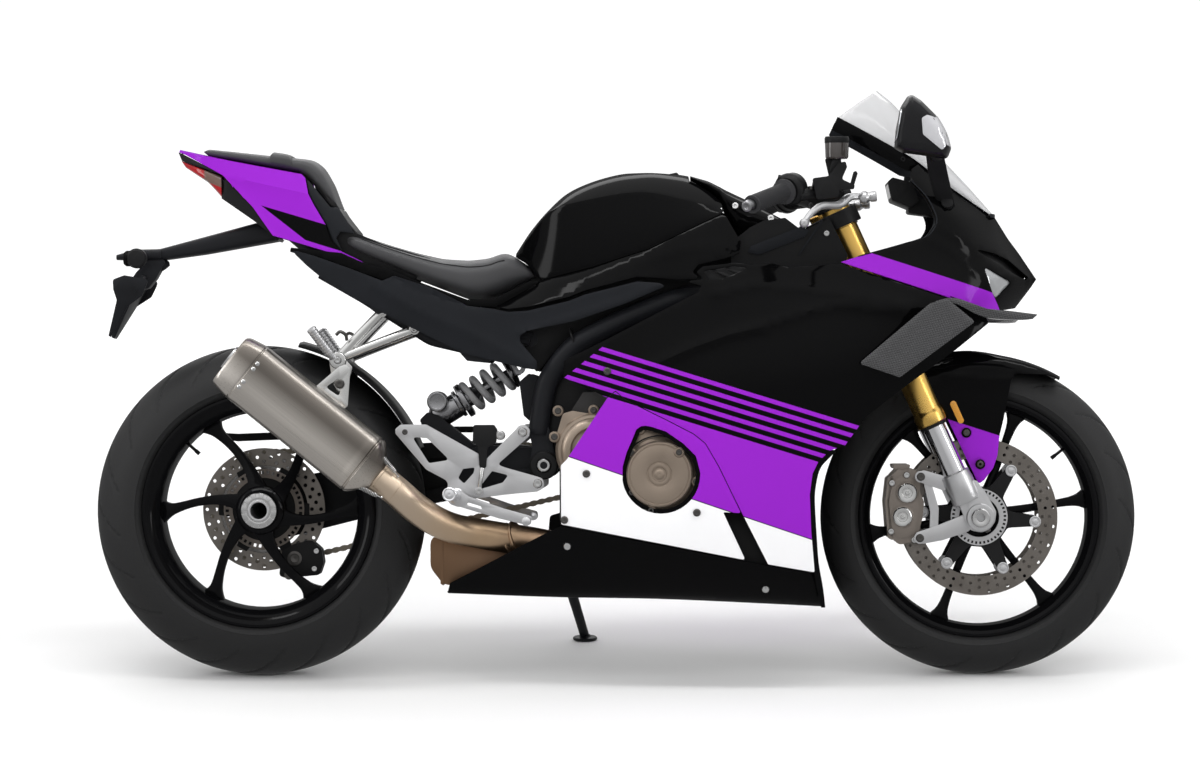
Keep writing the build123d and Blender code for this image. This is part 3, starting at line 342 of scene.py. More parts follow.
def panel(outline, surface, spacing=9.0, holes=(), creases=()):
    # creases: (line, lift, reach); a surface takes arrays x and z, and how far it is lifted
    flat, faces = meshed(outline, spacing, holes, [c[0] for c in creases])
    lift = sum((ridge(flat, *c) for c in creases), np.zeros(len(flat)))
    return facing(surface(flat[:, 0], flat[:, 1], lift), faces, (0, -1, 0))


def plate(outline, yFrom, yTo, holes=(), spacing=400.0):  # a flat plate from a side outline
    flat, faces = meshed(outline, spacing, holes)
    flat = [tuple(p) for p in flat]
    near = [(x, yFrom, z) for x, z in flat]
    far = [(x, yTo, z) for x, z in flat]
    count = len(near)
    borders = {}
    for f in faces:
        for a, b in zip(f, f[1:] + f[:1]):
            borders[(a, b)] = borders.get((a, b), 0) + 1
    walls = [(b, a, a + count, b + count) for (a, b) in borders if (b, a) not in borders]
    whole = faces + [tuple(i + count for i in reversed(f)) for f in faces] + walls
    return closedUp(near + far, whole)


def slab(outline, radius, yFrom, yTo, holes=(), spacing=400.0):  # a flat plate with rounded corners
    return plate(rounded(outline, radius), yFrom, yTo, holes, spacing)


def closedUp(points, faces):  # outward faces on a closed shape
    made = bmesh.new()
    corners = [made.verts.new(p) for p in points]
    for f in faces:
        made.faces.new([corners[i] for i in f])
    bmesh.ops.recalc_face_normals(made, faces=made.faces)
    made.verts.index_update()
    result = [tuple(v.co) for v in made.verts], [tuple(v.index for v in f.verts) for f in made.faces]
    made.free()
    return result


def onCircle(centre, radius, angle):
    return centre[0] + radius * cos(angle), centre[1] + radius * sin(angle)


def circle(centre, radius, steps=24, start=0.0):
    return [onCircle(centre, radius, start + 2 * pi * k / steps) for k in range(steps)]


def boltHeads(places, radius=6.0, height=4.0):  # (point, outward direction): domed heads with a hex socket
    made = []
    for at, out in places:
        turn = Vector((0, 0, 1)).rotation_difference(Vector(out)).to_matrix().to_4x4()
        turn.translation = Vector(at)
        rings = ((1.0, -0.6), (1.0, 0.6), (0.82, 1.0), (0.5, 1.0))
        rows = [[(x, y, height * h) for x, y in circle((0, 0), radius * r, 12)] for r, h in rings]
        socket = [onCircle((0, 0), radius * (0.4 if k % 2 else 0.46), 2 * pi * k / 12) for k in range(12)]
        rows += [[(x, y, height * depth) for x, y in socket] for depth in (1.0, 0.3)]
        points, faces = grid(rows, closedV=True)
        faces.append(tuple(len(points) - 12 + k for k in range(12)))
        made.append(moved((points, faces), turn))
    return joined(*made)


def sideBolts(places, y, radius=6.0, height=4.0):  # heads that look out to the side that y is on
    return boltHeads([((x, y, z), (0, copysign(1, y), 0)) for x, z in places], radius, height)


def piece(name, parts, nodes=(), body="chassis", thick=0, bevel=0, segments=2, sub=0, angle=32,
          bevelAngle=40, inner=None):
    # parts: one (shape, finish) or a list of them; the finished mesh rides on its body
    parts = parts if isinstance(parts, list) else [parts]
    points, faces, slots, finishes = [], [], [], []
    for shape, finish in parts:
        base = len(points)
        if finish not in finishes:
            finishes.append(finish)
        points += [tuple(c * mm for c in p) for p in shape[0]]
        faces += [tuple(i + base for i in f) for f in shape[1]]
        slots += [finishes.index(finish)] * len(shape[1])
    mesh = bpy.data.meshes.new(name)
    mesh.from_pydata(points, [], faces)
    for finish in finishes:
        mesh.materials.append(finish.material)
    mesh.polygons.foreach_set("material_index", slots)
    obj = bpy.data.objects.new(name, mesh)
    bpy.context.scene.collection.objects.link(obj)
    if thick:
        shell = obj.modifiers.new("thickness", "SOLIDIFY")
        shell.thickness, shell.offset, shell.use_even_offset = thick * mm, -1, True
        if inner:
            mesh.materials.append(inner.material)
            shell.material_offset = len(mesh.materials) - 1
    if bevel:
        edge = obj.modifiers.new("edges", "BEVEL")
        edge.width, edge.segments, edge.limit_method = bevel * mm, segments, "ANGLE"
        edge.angle_limit, edge.use_clamp_overlap = radians(bevelAngle), True
    if sub:
        obj.modifiers.new("rounding", "SUBSURF").levels = sub
        obj.modifiers["rounding"].render_levels = sub
    if obj.modifiers:
        ready = obj.evaluated_get(bpy.context.evaluated_depsgraph_get())
        final = bpy.data.meshes.new_from_object(ready)
        obj.modifiers.clear()
        obj.data = final
        bpy.data.meshes.remove(mesh)
    obj.data.shade_smooth()
    obj.data.set_sharp_from_angle(angle=radians(angle))
    obj.matrix_world = bike
    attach(obj, body)
    if nodes:
        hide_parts(*([nodes] if isinstance(nodes, str) else nodes))
    return obj


def glossPaint(name, color):
    f = Finish(name, color, 0.3, coat_weight=0.17, coat_roughness=0.09, specular_ior_level=0.0)
    return f.bump(f.noise(210, 1), 0.06, 0.0006)


def plastic(name, color, rough=0.42, grain=900, deep=0.25):
    f = Finish(name, color, rough, specular_ior_level=0.17)
    speck = f.noise(grain, 4)
    f.set(roughness=speck * 0.22 + (rough - 0.1))
    f.set(base_color=f.mix(f.noise(9, 2), tuple(c * 0.8 for c in color),
        tuple(min(1, c * 1.3) for c in color)))
    return f.bump(speck, deep, 0.0004)


def metal(name, color, rough=0.3, grain=60, deep=0.1, vary=0.2, metallic=1.0):
    f = Finish(name, color, rough, metallic)
    cloud = f.noise(grain * 0.12, 3)
    fine = f.noise(grain * 12, 3)
    f.set(roughness=cloud * vary + fine * 0.1 + (rough - vary * 0.5 - 0.05))
    f.set(base_color=f.mix(cloud, tuple(c * 0.86 for c in color), tuple(min(1, c * 1.1) for c in color)))
    return f.bump(fine, deep, 0.0003)


blackPaint, purpleTone, whiteTone = (0.0018, 0.0018, 0.002), (0.275, 0.018, 0.515), (0.86, 0.86, 0.87)
glossBlack = glossPaint("glossBlack", blackPaint)
satinBlack = plastic("satinBlack", (0.0075, 0.0075, 0.008), 0.42)
frameBlack = plastic("frameBlack", (0.0085, 0.009, 0.011), 0.46, 500, 0.2)
matteGrey = plastic("matteGrey", (0.0075, 0.0085, 0.011), 0.5, 1400, 0.3)
wheelBlack = glossPaint("wheelBlack", (0.0035, 0.0035, 0.004))
goldAnodised = metal("goldAnodised", (0.72, 0.42, 0.1), 0.28, 40, 0.05)
chrome = metal("chrome", (0.8, 0.8, 0.82), 0.06, 30, 0.02, vary=0.06)
castSilver = metal("castSilver", (0.62, 0.62, 0.63), 0.34, 90, 0.3, metallic=0.9)
brightSteel = metal("brightSteel", (0.62, 0.62, 0.62), 0.22, 50, 0.08)
polished = metal("polished", (0.74, 0.74, 0.73), 0.2, 50, 0.08)
darkSteel = metal("darkSteel", (0.12, 0.115, 0.11), 0.38, 70, 0.2)
caliperGrey = metal("caliperGrey", (0.23, 0.2, 0.175), 0.4, 90, 0.25, metallic=0.7)


def rubberFinish():
    f = Finish("rubber", (0.0105, 0.0105, 0.011), 0.62, specular_ior_level=0.35)
    speck = f.noise(420, 4)
    f.set(roughness=speck * 0.25 + 0.5)
    return f.bump(speck, 0.25, 0.0005)


rubber = rubberFinish()


def discFinish():  # turned steel: fine rings round the axle
    f = Finish("discSteel", (0.22, 0.2, 0.18), 0.34, 0.95)
    rings = f.noise(2600, 1)
    f.set(roughness=rings * 0.2 + 0.25)
    f.set(base_color=f.mix(f.noise(22, 3), (0.13, 0.115, 0.1), (0.27, 0.25, 0.23)))
    return f.bump(rings, 0.12, 0.0002)


discSteel = discFinish()

wheel = {
    "rear": dict(axle=rear, radius=315, crown=90, flange=222, opening=187, seat=74, hub=47),
    "front": dict(axle=front, radius=300, crown=60, flange=228, opening=205, seat=46, hub=38),
}


def tyre(kind, sipes, steps, around):
    w = wheel[kind]
    centre, edge = w["radius"] - w["crown"], radians(80)
    arc = np.linspace(-edge, edge, around)
    profile = [(centre + w["crown"] * cos(a), w["crown"] * sin(a)) for a in arc]
    top = profile[0][0]
    wall = [(top - (top - w["flange"]) * t, copysign(1, -1) * (abs(profile[0][1]) + 2.5 * sin(pi * t)
            - (abs(profile[0][1]) - w["seat"] - 1) * t**1.6)) for t in np.linspace(0, 1, 12)[1:]]
    ribbed = [(r, y - (0.9 if i % 4 == 2 else 0)) for i, (r, y) in enumerate(wall)]
    left = [(r, -y) for r, y in ribbed]
    inner = [(w["flange"] - 8, w["seat"] - 6), (w["flange"] + 12, w["seat"] - 14), (w["radius"] - 16, 0),
             (w["flange"] + 12, 14 - w["seat"]), (w["flange"] - 8, 6 - w["seat"])]
    loop = list(reversed(ribbed)) + profile + left + inner
    angles = np.linspace(0, 2 * pi, steps, endpoint=False)
    tread = range(len(ribbed), len(ribbed) + around)
    rows = []
    for a in angles:
        row = []
        for k, (r, y) in enumerate(loop):
            if k in tread:
                r -= sipes(a, arc[k - len(ribbed)], w)
            x, z = onCircle(w["axle"], r, a)
            row.append((x, y, z))
        rows.append(row)
    return grid(rows, closedU=True, closedV=True)


def slashes(count, low, high, lean, wide, deep):  # curved tread grooves, in turn on each side
    def depth(a, tilt, w):
        found = 0.0
        for side, offset in ((1, 0.0), (-1, 0.5)):
            t = side * tilt
            if low <= t <= high:
                share = (t - low) / (high - low)
                spot = (a * count / (2 * pi) - offset - lean * share**0.8) % 1
                gap = min(spot, 1 - spot) * 2 * pi / count * w["radius"]
                width = wide * (1 - 0.55 * share)
                found = max(found,
                    min(1, max(0, (width - gap) / 1.6 + 0.5)) * min(1, (1 - abs(2 * share - 1)) * 9))
        return found * deep
    return depth


def rimBarrel(w):
    f, o, s = w["flange"], w["opening"], w["seat"]
    half = [(f - 9, s - 1), (f - 1, s), (f + 1, s + 3), (f, s + 6.5), (f - 5, s + 7.5), (f - 11, s + 5),
        (o + 12, s - 6), (o + 3, s - 16), (o, s - 34)]
    inner = [(o + 9, s - 38), (o + 10, s - 30), (f - 9, s - 22)]
    loop = list(reversed(inner)) + half + [(r, -y) for r, y in reversed(half)] + [(r, -y) for r, y in inner]
    return lathe(w["axle"], loop, 144)


def spoke(w, angle, swirl, rows, yRows):  # (radius, half width) and (radius, half depth, lateral centre)
    axle, hub, opening = w["axle"], w["hub"], w["opening"]

    def spot(r, across):
        turn = radians(angle - swirl * max(0, 1 - (r - hub) / (opening - hub)) ** 1.25)
        c, s = cos(turn), sin(turn)
        return axle[0] + r * c - across * s, axle[1] + r * s + across * c

    radii = np.linspace(rows[0][0], rows[-1][0], 26)
    halves = hermite([r[0] for r in rows], radii) @ np.array([r[1] for r in rows], float)
    outline = [spot(r, h) for r, h in zip(radii, halves)] + [spot(r, -h)
        for r, h in reversed(list(zip(radii, halves)))]
    points, faces = plate(outline, -1, 1, (), 14)
    radii, halves, middles = zip(*yRows)
    made = []
    for x, y, z in points:
        r = hypot(x - axle[0], z - axle[1])
        made.append((x, float(np.interp(r, radii, middles) + y * np.interp(r, radii, halves)), z))
    return made, faces


def valve(w, angle, y):
    a = radians(angle)
    out = Vector((cos(a), 0, sin(a)))
    at = Vector((w["axle"][0], y, w["axle"][1])) + out * (w["opening"] + 6)
    return turnedOn(at, -out, [(0, -4), (4.4, -4), (4.4, 3), (3, 6), (3, 22), (3.8, 22), (3.8, 32), (0, 32)],
        16)


def drilledDisc(axle, outer, inner, y, thick, rings, holeRadius):
    holes = [circle(axle, inner, 96)]
    for radius, count, turn in rings:
        holes += [circle(c, holeRadius, 9) for c in circle(axle, radius, count, radians(turn))]
    return plate(circle(axle, outer, 144), y - thick / 2, y + thick / 2, holes, 26)


def toneRing(axle, count, low, high, edge, bore, y):  # the slotted ring that a speed sensor would read
    slots = []
    for k in range(count):
        a, b = 2 * pi * k / count, 2 * pi * (k + 0.5) / count
        slots.append([onCircle(axle, r, turn) for r, turn in ((low, a), (high, a), (high, b), (low, b))])
    return plate(circle(axle, edge, 72), y, y + 2, [bore] + slots)


def frontWheel():
    w = wheel["front"]
    axle = w["axle"]
    tread = slashes(18, 0.16, 1.12, 0.9, 3.6, 4.5)
    piece("frontTyre", (tyre("front", tread, 540, 56), rubber), "front_tyre", angle=50,
        body="front_wheel")
    parts = [rimBarrel(w)]
    rows = [(30, 17), (52, 10), (80, 7.8), (130, 7), (170, 8), (192, 11.5), (209, 21)]
    depth = [(30, 34, 0), (60, 15, 0), (130, 11, 0), (209, 15, 0)]
    for angle in range(9, 369, 60):
        parts.append(spoke(w, angle, 0, rows, depth))
    hub = [(12.6, 72), (26, 72), (29, 66), (30, 40), (38, 36), (38, -36), (30, -40), (29, -66), (26, -72),
        (12.6, -72)]
    parts.append(lathe(axle, hub, 64))
    piece("frontRim", [(joined(*parts), wheelBlack), (valve(w, 38, -6), satinBlack)], "front_rim",
          bevel=1.6, body="front_wheel")
    buttons, discs, carriers = [], [], []
    bore = circle(axle, 38.1, 40)
    for side in (1, -1):
        y = side * 60.5
        discs.append(drilledDisc(axle, 149, 113, y, 4.6,
                                 [(120, 24, 0), (127, 24, 7.5), (134, 24, 0), (141.5, 24, 7.5)], 3.3))
        star = []
        for k in range(6):
            for r, a in ((58, -17), (66, -13), (104, -5.2), (114, -3.5), (114, 3.5), (106, 5.6), (66, 13),
                    (58, 17)):
                star.append(onCircle(axle, r, radians(55 + 60 * k + a)))
        carriers.append(plate(rounded(star, 5, 3), y - 3.5, y + 3.5, [bore]))
        button = [(0, 5.4), (5, 5.4), (5.6, 4.2), (8.6, 4.2), (9.4, 5.6), (11, 5.2), (11, -4), (0, -4)]
        buttons += [turnedOn((x, y, z), (0, side, 0), button, 24)
            for x, z in circle(axle, 107, 6, radians(55))]
    tone = toneRing(axle, 40, 46.5, 51.5, 54, bore, -69.5)
    piece("frontDiscs", [(joined(*discs), discSteel), (joined(*carriers), satinBlack),
        (joined(*buttons, tone), castSilver)], "front_discs", bevel=0.5, segments=1,
        body="front_wheel")


def rearWheel():
    w = wheel["rear"]
    axle = w["axle"]
    tread = slashes(20, 0.18, 1.08, 1.1, 3.4, 4.5)
    piece("rearTyre", (tyre("rear", tread, 600, 72), rubber), "rear_tyre", angle=50,
        body="rear_wheel")
    parts = [rimBarrel(w)]
    rows = [(38, 19), (58, 13), (85, 9.6), (125, 8.4), (155, 9.4), (174, 13), (191, 25)]
    depth = [(38, 22, -24), (90, 13, -16), (140, 12, -6), (191, 18, 0)]
    for angle in (2, 62, 121, 181, 241, 302):
        parts.append(spoke(w, angle, 22, rows, depth))
    hub = [(25.1, 46), (40, 46), (46, 30), (47, 0), (47, -40), (45, -50), (39, -54), (34.5, -54),
        (34.5, -46), (25.1, -46)]
    parts.append(lathe(axle, hub, 64))
    piece("rearRim", [(joined(*parts), wheelBlack), (valve(w, 138, 0), satinBlack)], "rear_rim",
          bevel=1.8, body="rear_wheel")
    nut = [(16, -74), (22, -74), (23, -73), (33, -72), (34, -70.5), (34, -56), (16, -56)]
    notches = [[onCircle(axle, r, a) for r, a in ((26, b), (33.2, b), (33.2, b + 0.2), (26, b + 0.2))]
               for b in (2 * pi * k / 12 for k in range(12))]
    cap = plate(circle(axle, 33.6, 72), -74.5, -71, [circle(axle, 22.5, 48)] + notches)
    tubeEnd = lathe(axle, [(16, -77), (19.5, -77), (20.5, -76), (20.5, 186), (16, 186)], 48)
    far = lathe(axle, [(20, 170), (36, 170), (36, 184), (33, 187), (20, 187)], 6)
    piece("rearSpindle", [(joined(lathe(axle, nut, 72), cap), brightSteel), (tubeEnd, castSilver),
          (far, brightSteel)], "rear_spindle", bevel=0.6, segments=2, body="rear_wheel")
    disc = drilledDisc(axle, 118, 84, 54, 5, [(92, 24, 0), (101, 24, 7.5), (110, 24, 0)], 3.4)
    tone = toneRing(axle, 44, 68, 74, 78, circle(axle, 60, 60), 47.5)
    bore = circle(axle, 26, 40)
    carrier = plate([onCircle(axle, r, radians(60 * k + a)) for k in range(6)
                     for r, a in ((58, -16), (88, -7), (88, 7), (58, 16))], 50, 57, [bore])
    boss = lathe(axle, [(26, 46.2), (60, 46.2), (62, 50), (26, 50)], 48)
    piece("rearDisc", [(disc, discSteel), (joined(carrier, boss), satinBlack), (tone, caliperGrey)],
          "rear_disc", bevel=0.5, segments=1, body="rear_wheel")
    teeth = []
    for k in range(42 * 4):
        a, r = 2 * pi * k / (42 * 4), (100, 103.5, 103.5, 100)[k % 4] - 3
        teeth.append(onCircle(axle, r, a))
    windows = [rounded([onCircle(axle, r, radians(60 * k + a)) for r, a in ((56, -16), (86, -20), (86, 20),
        (56, 16))], 8) for k in range(6)]
    ring = plate(teeth, 163, 169, windows + [bore])
    boss = lathe(axle, [(25.2, 157), (44, 157), (44, 163), (25.2, 163)], 48)
    piece("rearSprocket", (joined(ring, boss), brightSteel), "rear_sprocket", bevel=0.8,
          segments=1, body="rear_wheel")


print("wheels")
frontWheel()
rearWheel()

# Half width of the side fairings over x and height, in mm.
fairing = {
    "x": (555, 700, 850, 1000, 1120, 1240, 1340, 1420, 1486),
    "z": (120, 250, 400, 560, 690, 800, 960),
    "half": ((120, 172, 190, 192, 186, 172, 160), (132, 196, 220, 222, 208, 190, 165),
             (138, 206, 240, 250, 232, 205, 170), (134, 206, 250, 272, 258, 222, 185),
             (120, 190, 240, 272, 264, 230, 196), (100, 170, 220, 250, 246, 214, 180),
             (80, 150, 190, 214, 214, 182, 140), (60, 110, 140, 160, 160, 128, 78),
             (40, 50, 60, 70, 70, 40, 20)),
    "skin": 3.0,
    "beak": 110.0,  # where the nose starts to round in, behind its tip
    "wrap": 170,  # length of that round along the skin
    "tip": ((640, 1410), (664, 1418), (697, 1443), (738, 1474), (753, 1484), (801, 1452), (831, 1430),
            (870, 1406), (950, 1330), (1000, 1290)),
    "stripe": (829.6, 0.311, 18.2, 8.4, 91.5),  # height at x 0, fall, pitch, band, where solid colour starts
    "purpleLow": (624.1, 0.3436),
    "whiteLow": (401.2, 0.1958),
    "noseBand": (1171.9, 0.3213),
}
screen = {
    "centre": ((1402, 875), (1357, 926), (1305, 982), (1262, 1032), (1214, 1086), (1181, 1114)),
    "edge": ((1392, 876), (1313, 927), (1253, 970), (1201, 1001), (1135, 1038), (1101, 1057)),
    "half": (46, 112, 138, 136, 128, 114),
    "band": 24.0,
}


def inset(loop, by):  # a closed outline moved inward
    area = sum(a[0] * b[1] - b[0] * a[1] for a, b in zip(loop, list(loop[1:]) + [loop[0]]))
    made = []
    for i, spot in enumerate(loop):
        p, a, b = Vector(spot), Vector(loop[i - 1]), Vector(loop[(i + 1) % len(loop)])
        n1, n2 = (p - a).normalized(), (b - p).normalized()
        inward = Vector((-n1.y - n2.y, n1.x + n2.x)) * copysign(1, area)
        made.append(tuple(p + inward * (by * 2 / max(0.6, inward.length_squared))))
    return made


def welded(shape):  # points that meet become one
    points = np.round(np.asarray(shape[0], float), 2)
    kept, index = np.unique(points, axis=0, return_inverse=True)
    index = index.ravel()
    faces = []
    for f in shape[1]:
        g = [int(index[i]) for i in f]
        g = [v for k, v in enumerate(g) if v != g[k - 1]]
        if len(set(g)) > 2:
            faces.append(tuple(g))
    return [tuple(p) for p in kept], faces


def fairHalf(x, z):
    table = np.array(fairing["half"], float)
    return np.einsum("pi,ij,pj->p", hermite(fairing["x"], x), table, hermite(fairing["z"], z))


def skinOf(halfY):  # the right-hand surface that a half width over x and height makes
    return lambda x, z, lift: np.stack([x, -halfY(x, z) - lift, z], 1)


def atSpot(halfY, x, z):
    return float(halfY(np.array([float(x)]), np.array([float(z)]))[0])


fairSide = skinOf(fairHalf)


def tipAt(z):
    return np.interp(z, [r[0] for r in fairing["tip"]], [r[1] for r in fairing["tip"]])


borderX = [1086, 1201, 1253, 1313, 1392, 1406, 1430, 1452, 1474, 1484, 1520]
borderZ = [1065, 1001, 970, 927, 877, 870, 831, 801, 771, 753, 690]
shoulder = ([1086, 1101, 1135, 1201, 1253, 1313, 1392, 1406, 1520], [110, 114, 128, 136, 138, 112, 46, 0, 0])


def noseSpot(x, z):  # a side point on the flat sheet that wraps round the nose
    start = float(tipAt(z)) - fairing["beak"]
    ahead = min(1, (x - start) / fairing["beak"])
    return (start + fairing["wrap"] * asin(ahead) * 2 / pi if x > start else x), z


def toNose(loop):
    return [noseSpot(x, z) for x, z in dense(loop, 9)]


def noseSide(u, z, lift):
    start = tipAt(z) - fairing["beak"]
    turn = np.clip((u - start) / fairing["wrap"], 0, 1) * pi / 2
    x = np.where(u > start, start + fairing["beak"] * np.sin(turn), u)
    y = fairHalf(x, z) * np.cos(turn) ** 1.3
    deep = np.clip((np.interp(x, borderX, borderZ) - z) / 80, 0, 1)
    share = np.sqrt(1 - (1 - deep) ** 2)
    y = y * share + np.minimum(y, np.interp(x, *shoulder)) * (1 - share)
    centre = turn > pi / 2 - 1e-6
    y = np.where(centre, 0, -y - lift * np.cos(turn))
    return np.stack([x + lift * np.sin(turn) * ~centre, y, z], 1)


def fairingPaint():
    f = glossPaint("fairingPaint", blackPaint)
    x, _, z = f.where()
    high, fall, pitch, band, solid = fairing["stripe"]
    below = high - (z + x * fall)
    stripes = below.wave(pitch).under(band / pitch, 0.04) * below.over(0, 0.8)
    stripes = stripes * ((x - 584) * 0.8 - (z - 566)).over(0, 0.8)
    solids = below.over(solid, 0.8)
    purple = f.node("ShaderNodeMath", {"operation": "MAXIMUM"}, stripes, solids)
    above = z + x * fairing["purpleLow"][1] - fairing["purpleLow"][0]
    low = z + x * fairing["whiteLow"][1] - fairing["whiteLow"][0]
    color = f.mix(purple * above.over(0, 0.8), blackPaint, purpleTone)
    color = f.mix(above.under(-1.8, 0.8) * low.over(0, 0.8), color, whiteTone)
    return f.set(base_color=color)


def nosePaint():
    f = glossPaint("nosePaint", blackPaint)
    x, _, z = f.where()
    band = (z + x * fairing["noseBand"][1] - fairing["noseBand"][0]).under(0, 0.8)
    return f.set(base_color=f.mix(band * (x + z * 0.53).under(1775, 0.8), blackPaint, purpleTone))


def carbonFinish():
    f = Finish("carbon", (0.05, 0.05, 0.052), 0.28, 0.3, coat_weight=0.6, coat_roughness=0.05)
    x, y, z = f.where()
    warp = (x + z * 0.6 + y).wave(5.2).over(0.5, 0.3)
    weft = (x * 0.7 - z + y * 0.4).wave(5.2).over(0.5, 0.3)
    cloth = (warp - weft).abs()
    f.set(base_color=f.mix(cloth, (0.022, 0.022, 0.023), (0.07, 0.07, 0.073)))
    f.set(roughness=cloth * 0.22 + 0.2)
    return f.bump(cloth, 0.3, 0.0004)


def glassFinish(name, color, alpha, edge):
    f = Finish(name, color, 0.12, specular_ior_level=0.25)
    rim = f.node("ShaderNodeLayerWeight", {}, Blend=0.35, out=1)
    return f.set(alpha=rim * edge + alpha)


fairPaint, beakPaint, carbon = fairingPaint(), nosePaint(), carbonFinish()
screenGlass = glassFinish("screenGlass", (0.66, 0.66, 0.67), 0.5, 0.3)
lensGrey = Finish("lensGrey", (0.36, 0.37, 0.38), 0.07, 0.35, coat_weight=1.0, coat_roughness=0.02)
amber = Finish("amber", (0.62, 0.27, 0.01), 0.2, 0.1, coat_weight=1.0)

seamLower = [(682, 542), (700, 526), (779, 487), (829, 461), (850, 444), (875, 401), (901, 347), (922, 304),
    (967, 215)]
seamUpper = [(682, 544), (700, 569), (757, 591), (814, 618), (901, 648), (961, 659)]
clutchHole = [(694.8, 400), (702.8, 428), (712, 448), (720.8, 470), (730, 476), (738.8, 477), (750, 475),
    (776.8, 466), (808.8, 444), (832.8, 420), (840.8, 388)] + [(767 + 73.5 * cos(radians(a)),
    385 + 73.5 * sin(radians(a))) for a in range(-10, -180, -10)]


def sideFairing():
    upper = [(583, 568), (585, 600), (666, 640), (748, 682), (838, 728), (843, 738), (812, 747), (846, 752),
        (833, 765), (846, 776), (903, 782), (944, 778), (976, 781), (1006, 773), (1049, 776), (1105, 779),
        (1309, 712), (1374, 689), (1383, 667), (1320, 617), (1226, 550), (1150, 492), (1111, 438),
        (1083, 429), (1062, 409), (1051, 386), (1046, 347), (1049, 279),
        (1056, 199)] + list(reversed(seamLower)) + [(666, 529)]
    lower = [(578, 291), (578, 403), (589, 414), (666, 529)] + seamLower[:7] + [
        (918, 312), (884, 314), (926, 223), (780, 252)]
    vent = rounded([(848, 767), (903, 776), (936, 773), (883, 751), (856, 750)], 4)
    creases = [([(870, 723), (911, 735), (969, 739), (1034, 733), (1103, 723), (1240, 700)], 4.5, 15),
        ([(748, 588), (830, 624), (895, 647), (993, 674), (1055, 694), (1103, 703), (1230, 690)], 4.5, 14),
        (seamUpper[1:], 2.0, 7)]
    shells = [panel(rounded(inset(upper, 0.9), 3), fairSide, 9, [vent], creases),
              panel(rounded(inset(lower, 0.9), 3), fairSide, 8, [rounded(clutchHole, 4)], [])]
    slats = []
    for k in range(2):
        line = [(862 + 26 * k, 769 + 3 * k), (868 + 26 * k, 771 + 3 * k), (900 + 22 * k, 757 + 5 * k),
            (894 + 22 * k, 755 + 5 * k)]
        slats.append(panel(line, lambda x, z, lift: fairSide(x, z, lift - 5), 9))
    well = panel(inset(vent, -6), lambda x, z, lift: fairSide(x, z, lift - 16), 12)
    ring = panel(rounded(inset(clutchHole, -5), 4), lambda x, z, lift: fairSide(x, z, lift - 9), 7,
                 [rounded(inset(clutchHole, 8), 4)])
    bolts = boltHeads([((x, -atSpot(fairHalf, x, z) - 0.5, z), (0, -1, 0))
                       for x, z in ((667, 579), (627, 387), (834, 314), (563 + 22, 300))], 7.5, 3.5)
    # a black sheet behind the slot in the lower fairing: painted shade that keeps the whole slot dark
    slotShadeSheet = plate([(866, 330), (926, 330), (986, 176), (924, 176), (880, 250)], -150, -154)
    seam = np.array([(1084, 430), (1068, 415), (1056, 402), (1050, 386), (1046, 347), (1049, 279),
        (1056, 200), (1070, 132)], float)
    seam = smooth(seam, 40)
    out = np.array([(14, 0), (13, -2), (11, -3), (11, 0), (11, 0), (11, 0), (12, 0), (8, 0)], float)
    out = hermite(np.linspace(0, 1, 8), np.linspace(0, 1, 40)) @ out
    near = fairSide(seam[:, 0] - 2, seam[:, 1], np.full(40, -1.0))
    far = near + np.c_[out[:, 0], np.full(40, 4.0), out[:, 1]]
    lip = facing(*grid([[tuple(p) for p in near], [tuple(p) for p in (near + far) / 2 - (0, 1.5, 0)],
                        [tuple(p) for p in far]]), (0, -1, 0))
    for side, name in ((-1, "right"), (1, "left")):
        turn = (lambda s: s) if side < 0 else flipped
        piece("sideFairing_" + name, [(turn(joined(*shells)), fairPaint)], "side_fairing_" + name,
              thick=fairing["skin"], bevel=0.9, angle=28, inner=matteGrey)
        piece("fairingTrim_" + name, [(turn(joined(ring)), glossBlack), (turn(joined(*slats)), satinBlack),
              (turn(well), satinBlack), (turn(slotShadeSheet), satinBlack), (turn(lip), glossBlack)], thick=2.5,
              bevel=1.0)
        piece("fairingBolts_" + name, [(turn(bolts), darkSteel)], bevel=0.4, segments=1)


